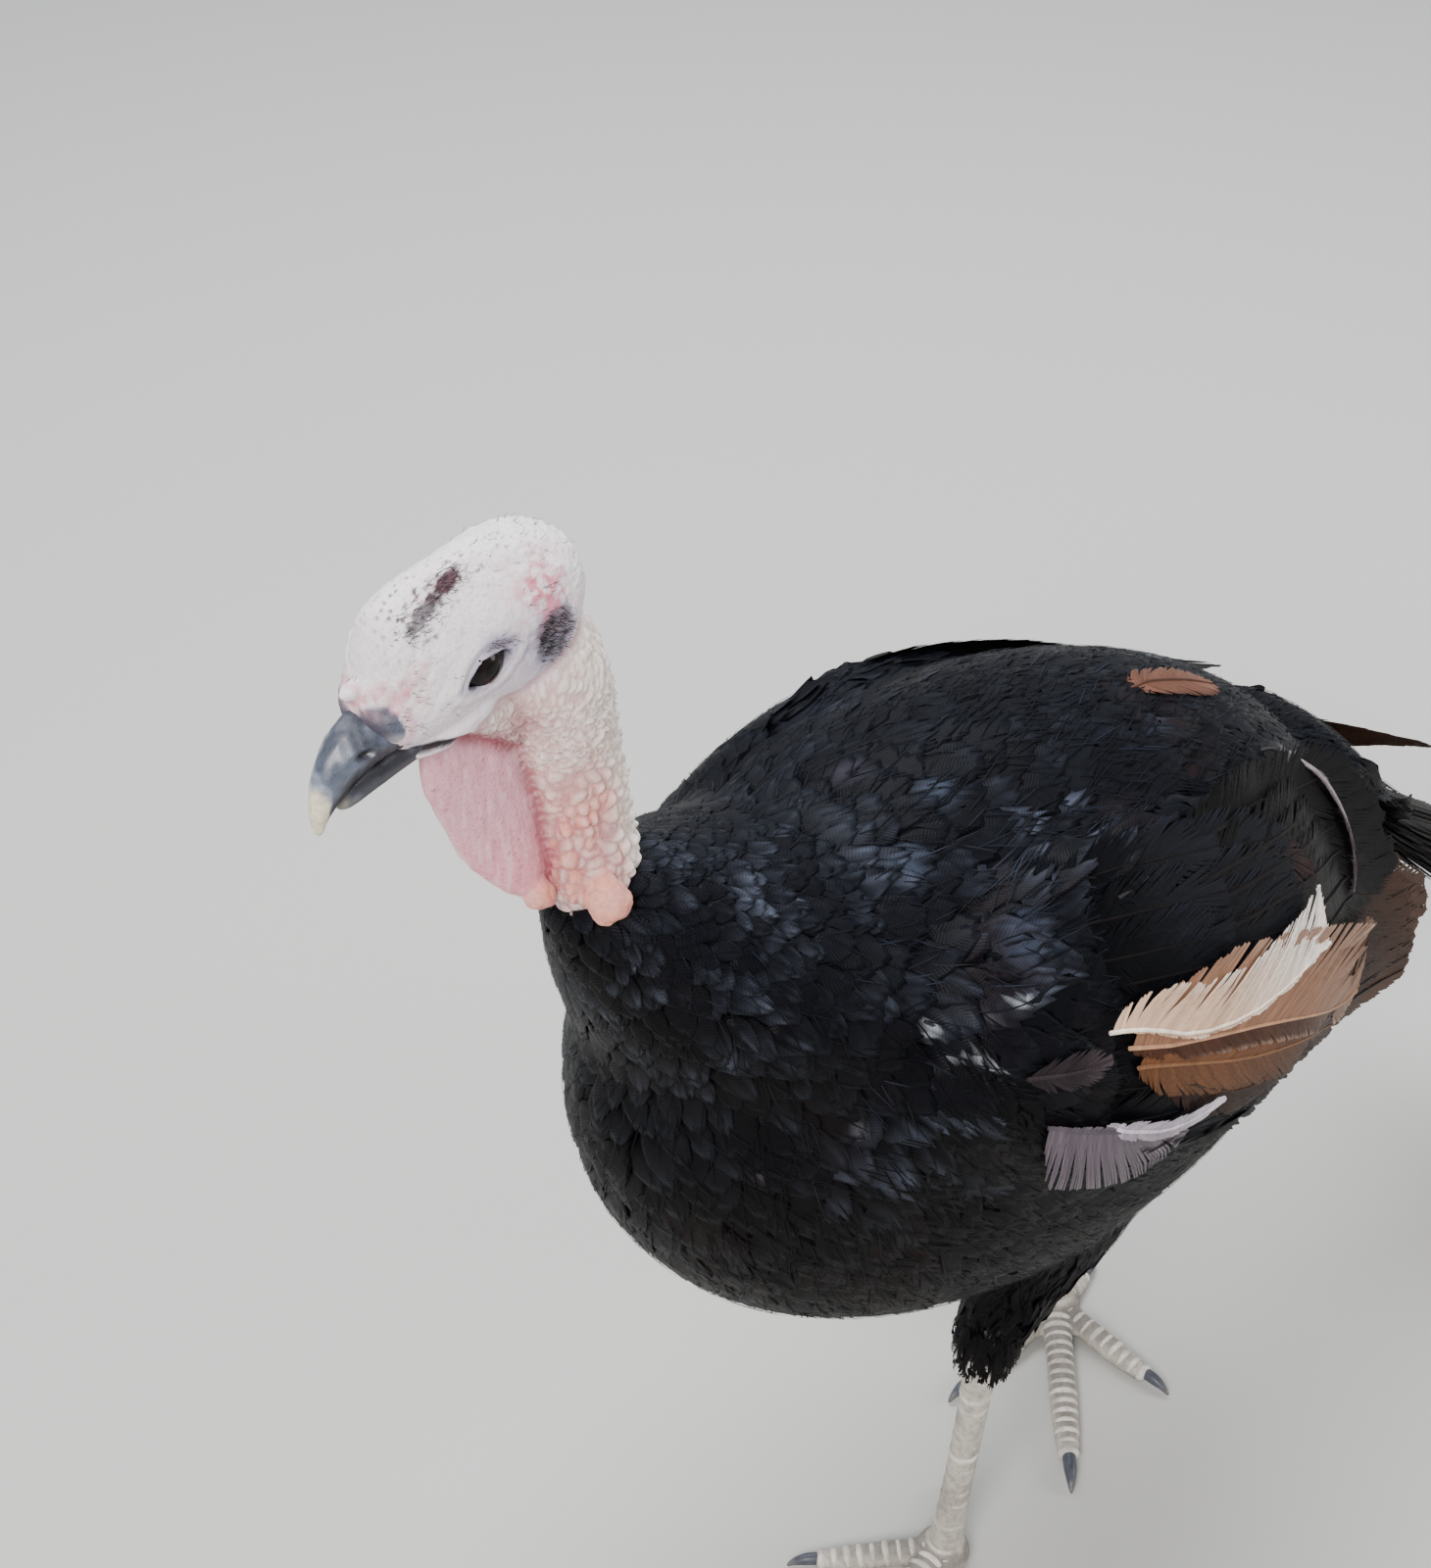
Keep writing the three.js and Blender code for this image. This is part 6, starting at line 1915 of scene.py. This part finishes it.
cuffForm = {"barbs": 16, "half": (4.2, 4.2), "taper": 0.4, "ragged": 0.5, "clump": 3, "parting": 1.2,
            "flutter": 0.5, "start": 0.02, "shaft": 0.25, "slant": 26}
cuffRows = ((17, 12.8), (11, 11.4), (5, 9.9))    # height over the hock, and the leg's half width there


def cuffPaint(t, out, side, chance):
    base = shade(15, 13, 14) * (0.7 + 0.6 * chance)[..., None] * np.ones((*t.shape, 1))
    return layered(base, ((214, 208, 200), (chance > 0.86) * eased(t, 0.6, 0.95)))


cuffs = []
rng = np.random.default_rng(17)
for leg in legs.values():
    down = unit(leg["ankle"] - leg["hock"])
    for row, (rise, wide) in enumerate(cuffRows):
        for k in range(15):
            spin = 2 * math.pi * (k + 0.5 * (row % 2) + rng.normal(0, 0.15)) / 15
            level = np.array([math.cos(spin), math.sin(spin), 0])
            out = unit(level - down * (level @ down))
            far = np.linspace(0, rng.uniform(12, 19), 13)[:, None]
            bulge = wide - 2.5 + 3.4 * np.sin(far / 19 * 2.2) + rng.normal(0, 0.3)
            middle = leg["hock"] - down * rise + down * far + out * bulge
            ups = np.tile(out, (13, 1))
            cuffs.append(combFeather(middle, ups, {**quillForm, **cuffForm}, cuffPaint, rng))
combPiece("hock_cuffs", cuffs)


# The coat of body feathers, and the loose barbs that soften it

onNeck = away(coatRoots, neckFoot) < 120
rearward = coatRoots[:, 0] > 20
leftward = coatRoots[:, 1] < 0
coatParts = {"coat_neck": (onNeck, neckVane, ()),
             "coat_left": (~onNeck & ~rearward & leftward, bodyVane, ("wing_left_coverts",)),
             "coat_right": (~onNeck & ~rearward & ~leftward, bodyVane, ("wing_right_coverts",)),
             "coat_rear": (~onNeck & rearward, bodyVane, ("tail_coverts_upper", "tail_coverts_under"))}
for seed, (name, (pick, form, replacing)) in enumerate(coatParts.items()):
    piece = coatPiece(name, coatVanes(coatRoots[pick], coatGaps[pick], seed + 3, form))
    if replacing:
        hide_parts(*replacing)


barbForm = {"count": 8000, "seed": 61, "reach": 17, "slant": (0.1, 0.5), "lift": 0.25, "half": 0.3}


def looseBarbs(name, form):
    # fine single barbs lying over the vanes, at a slant to the lie of the coat
    rng = np.random.default_rng(form["seed"])
    count = form["count"]
    spots = spotsOnReach(rng, count)
    small = np.clip(coatSpacing(spots) / coatShape["spacing"], 0.45, 1)
    reach = form["reach"] * small * rng.uniform(0.6, 1.3, count)
    turn = rng.choice([-1, 1], count) * rng.uniform(*form["slant"], count)
    lines, ups = walked(spots, reach, np.tan(turn), steps=3)
    lift = form["lift"] * np.array([-0.8, 0.6, 0.9, 0.7])[None] * rng.uniform(0.6, 1.5, (count, 1)) + 0.15
    lines = lines + ups * lift[..., None]
    across = np.cross(unit(np.gradient(lines, axis=1)), ups)
    half = form["half"] * np.array([0.6, 1, 0.8, 0.15])[None, :, None] * small[:, None, None]
    rise = 0.06 * np.array([1, 1, 1, 0.4])[None, :, None]
    points = np.stack([lines + across * half, lines + ups * rise, lines - across * half], 2)
    quads = tubeFaces(np.arange(12).reshape(4, 3))
    one = np.vstack([quads[:, [0, 2, 3]], quads[:, [0, 1, 2]], [[0, 1, 2]], [[9, 11, 10]]])
    faces = manyOf(one, count, 12)
    upward = eased(ups[:, 1, 2], -0.3, 0.7)[:, None]
    # a little of the painted sheen on the loose barbs as well
    paintedSheen = (paintedSheenAt(spots) * rng.uniform(0.3, 1.5, count))[:, None]
    # barbs facing up take the painted sky reflection, those facing down the partly painted shaded brown
    base = mixed(coatShades["below"], coatShades["above"], upward) * rng.uniform(0.6, 1.5, (count, 1))
    pale = (rng.random((count, 1)) < 0.06) * 0.5
    base = mixed(base, mixed(coatShades["edgeBelow"], coatShades["edgeAbove"], upward), pale)
    tints = mixed(base, coatShades["paintedSheen"], np.clip(0.12 * paintedSheen, 0, 0.3))
    patch = np.stack([np.tile([-0.3, 0, 0.3], 4), np.repeat(np.linspace(-0.5, 0.5, 4), 3)], -1)
    bake = unwrapped(spots)[:, None] + 0.003 * patch[None]
    vane = np.repeat(rng.uniform(0, 300, count), 12)[:, None] * (1, 1)
    makePiece(name, points.reshape(-1, 3), faces, plumage, np.repeat(tints, 12, axis=0),
              {"OFBake": bake.reshape(-1, 2), "vane": vane}, smooth=False)
    print(name, count, "barbs,", len(faces), "triangles")


looseBarbs("coat_barbs", barbForm)
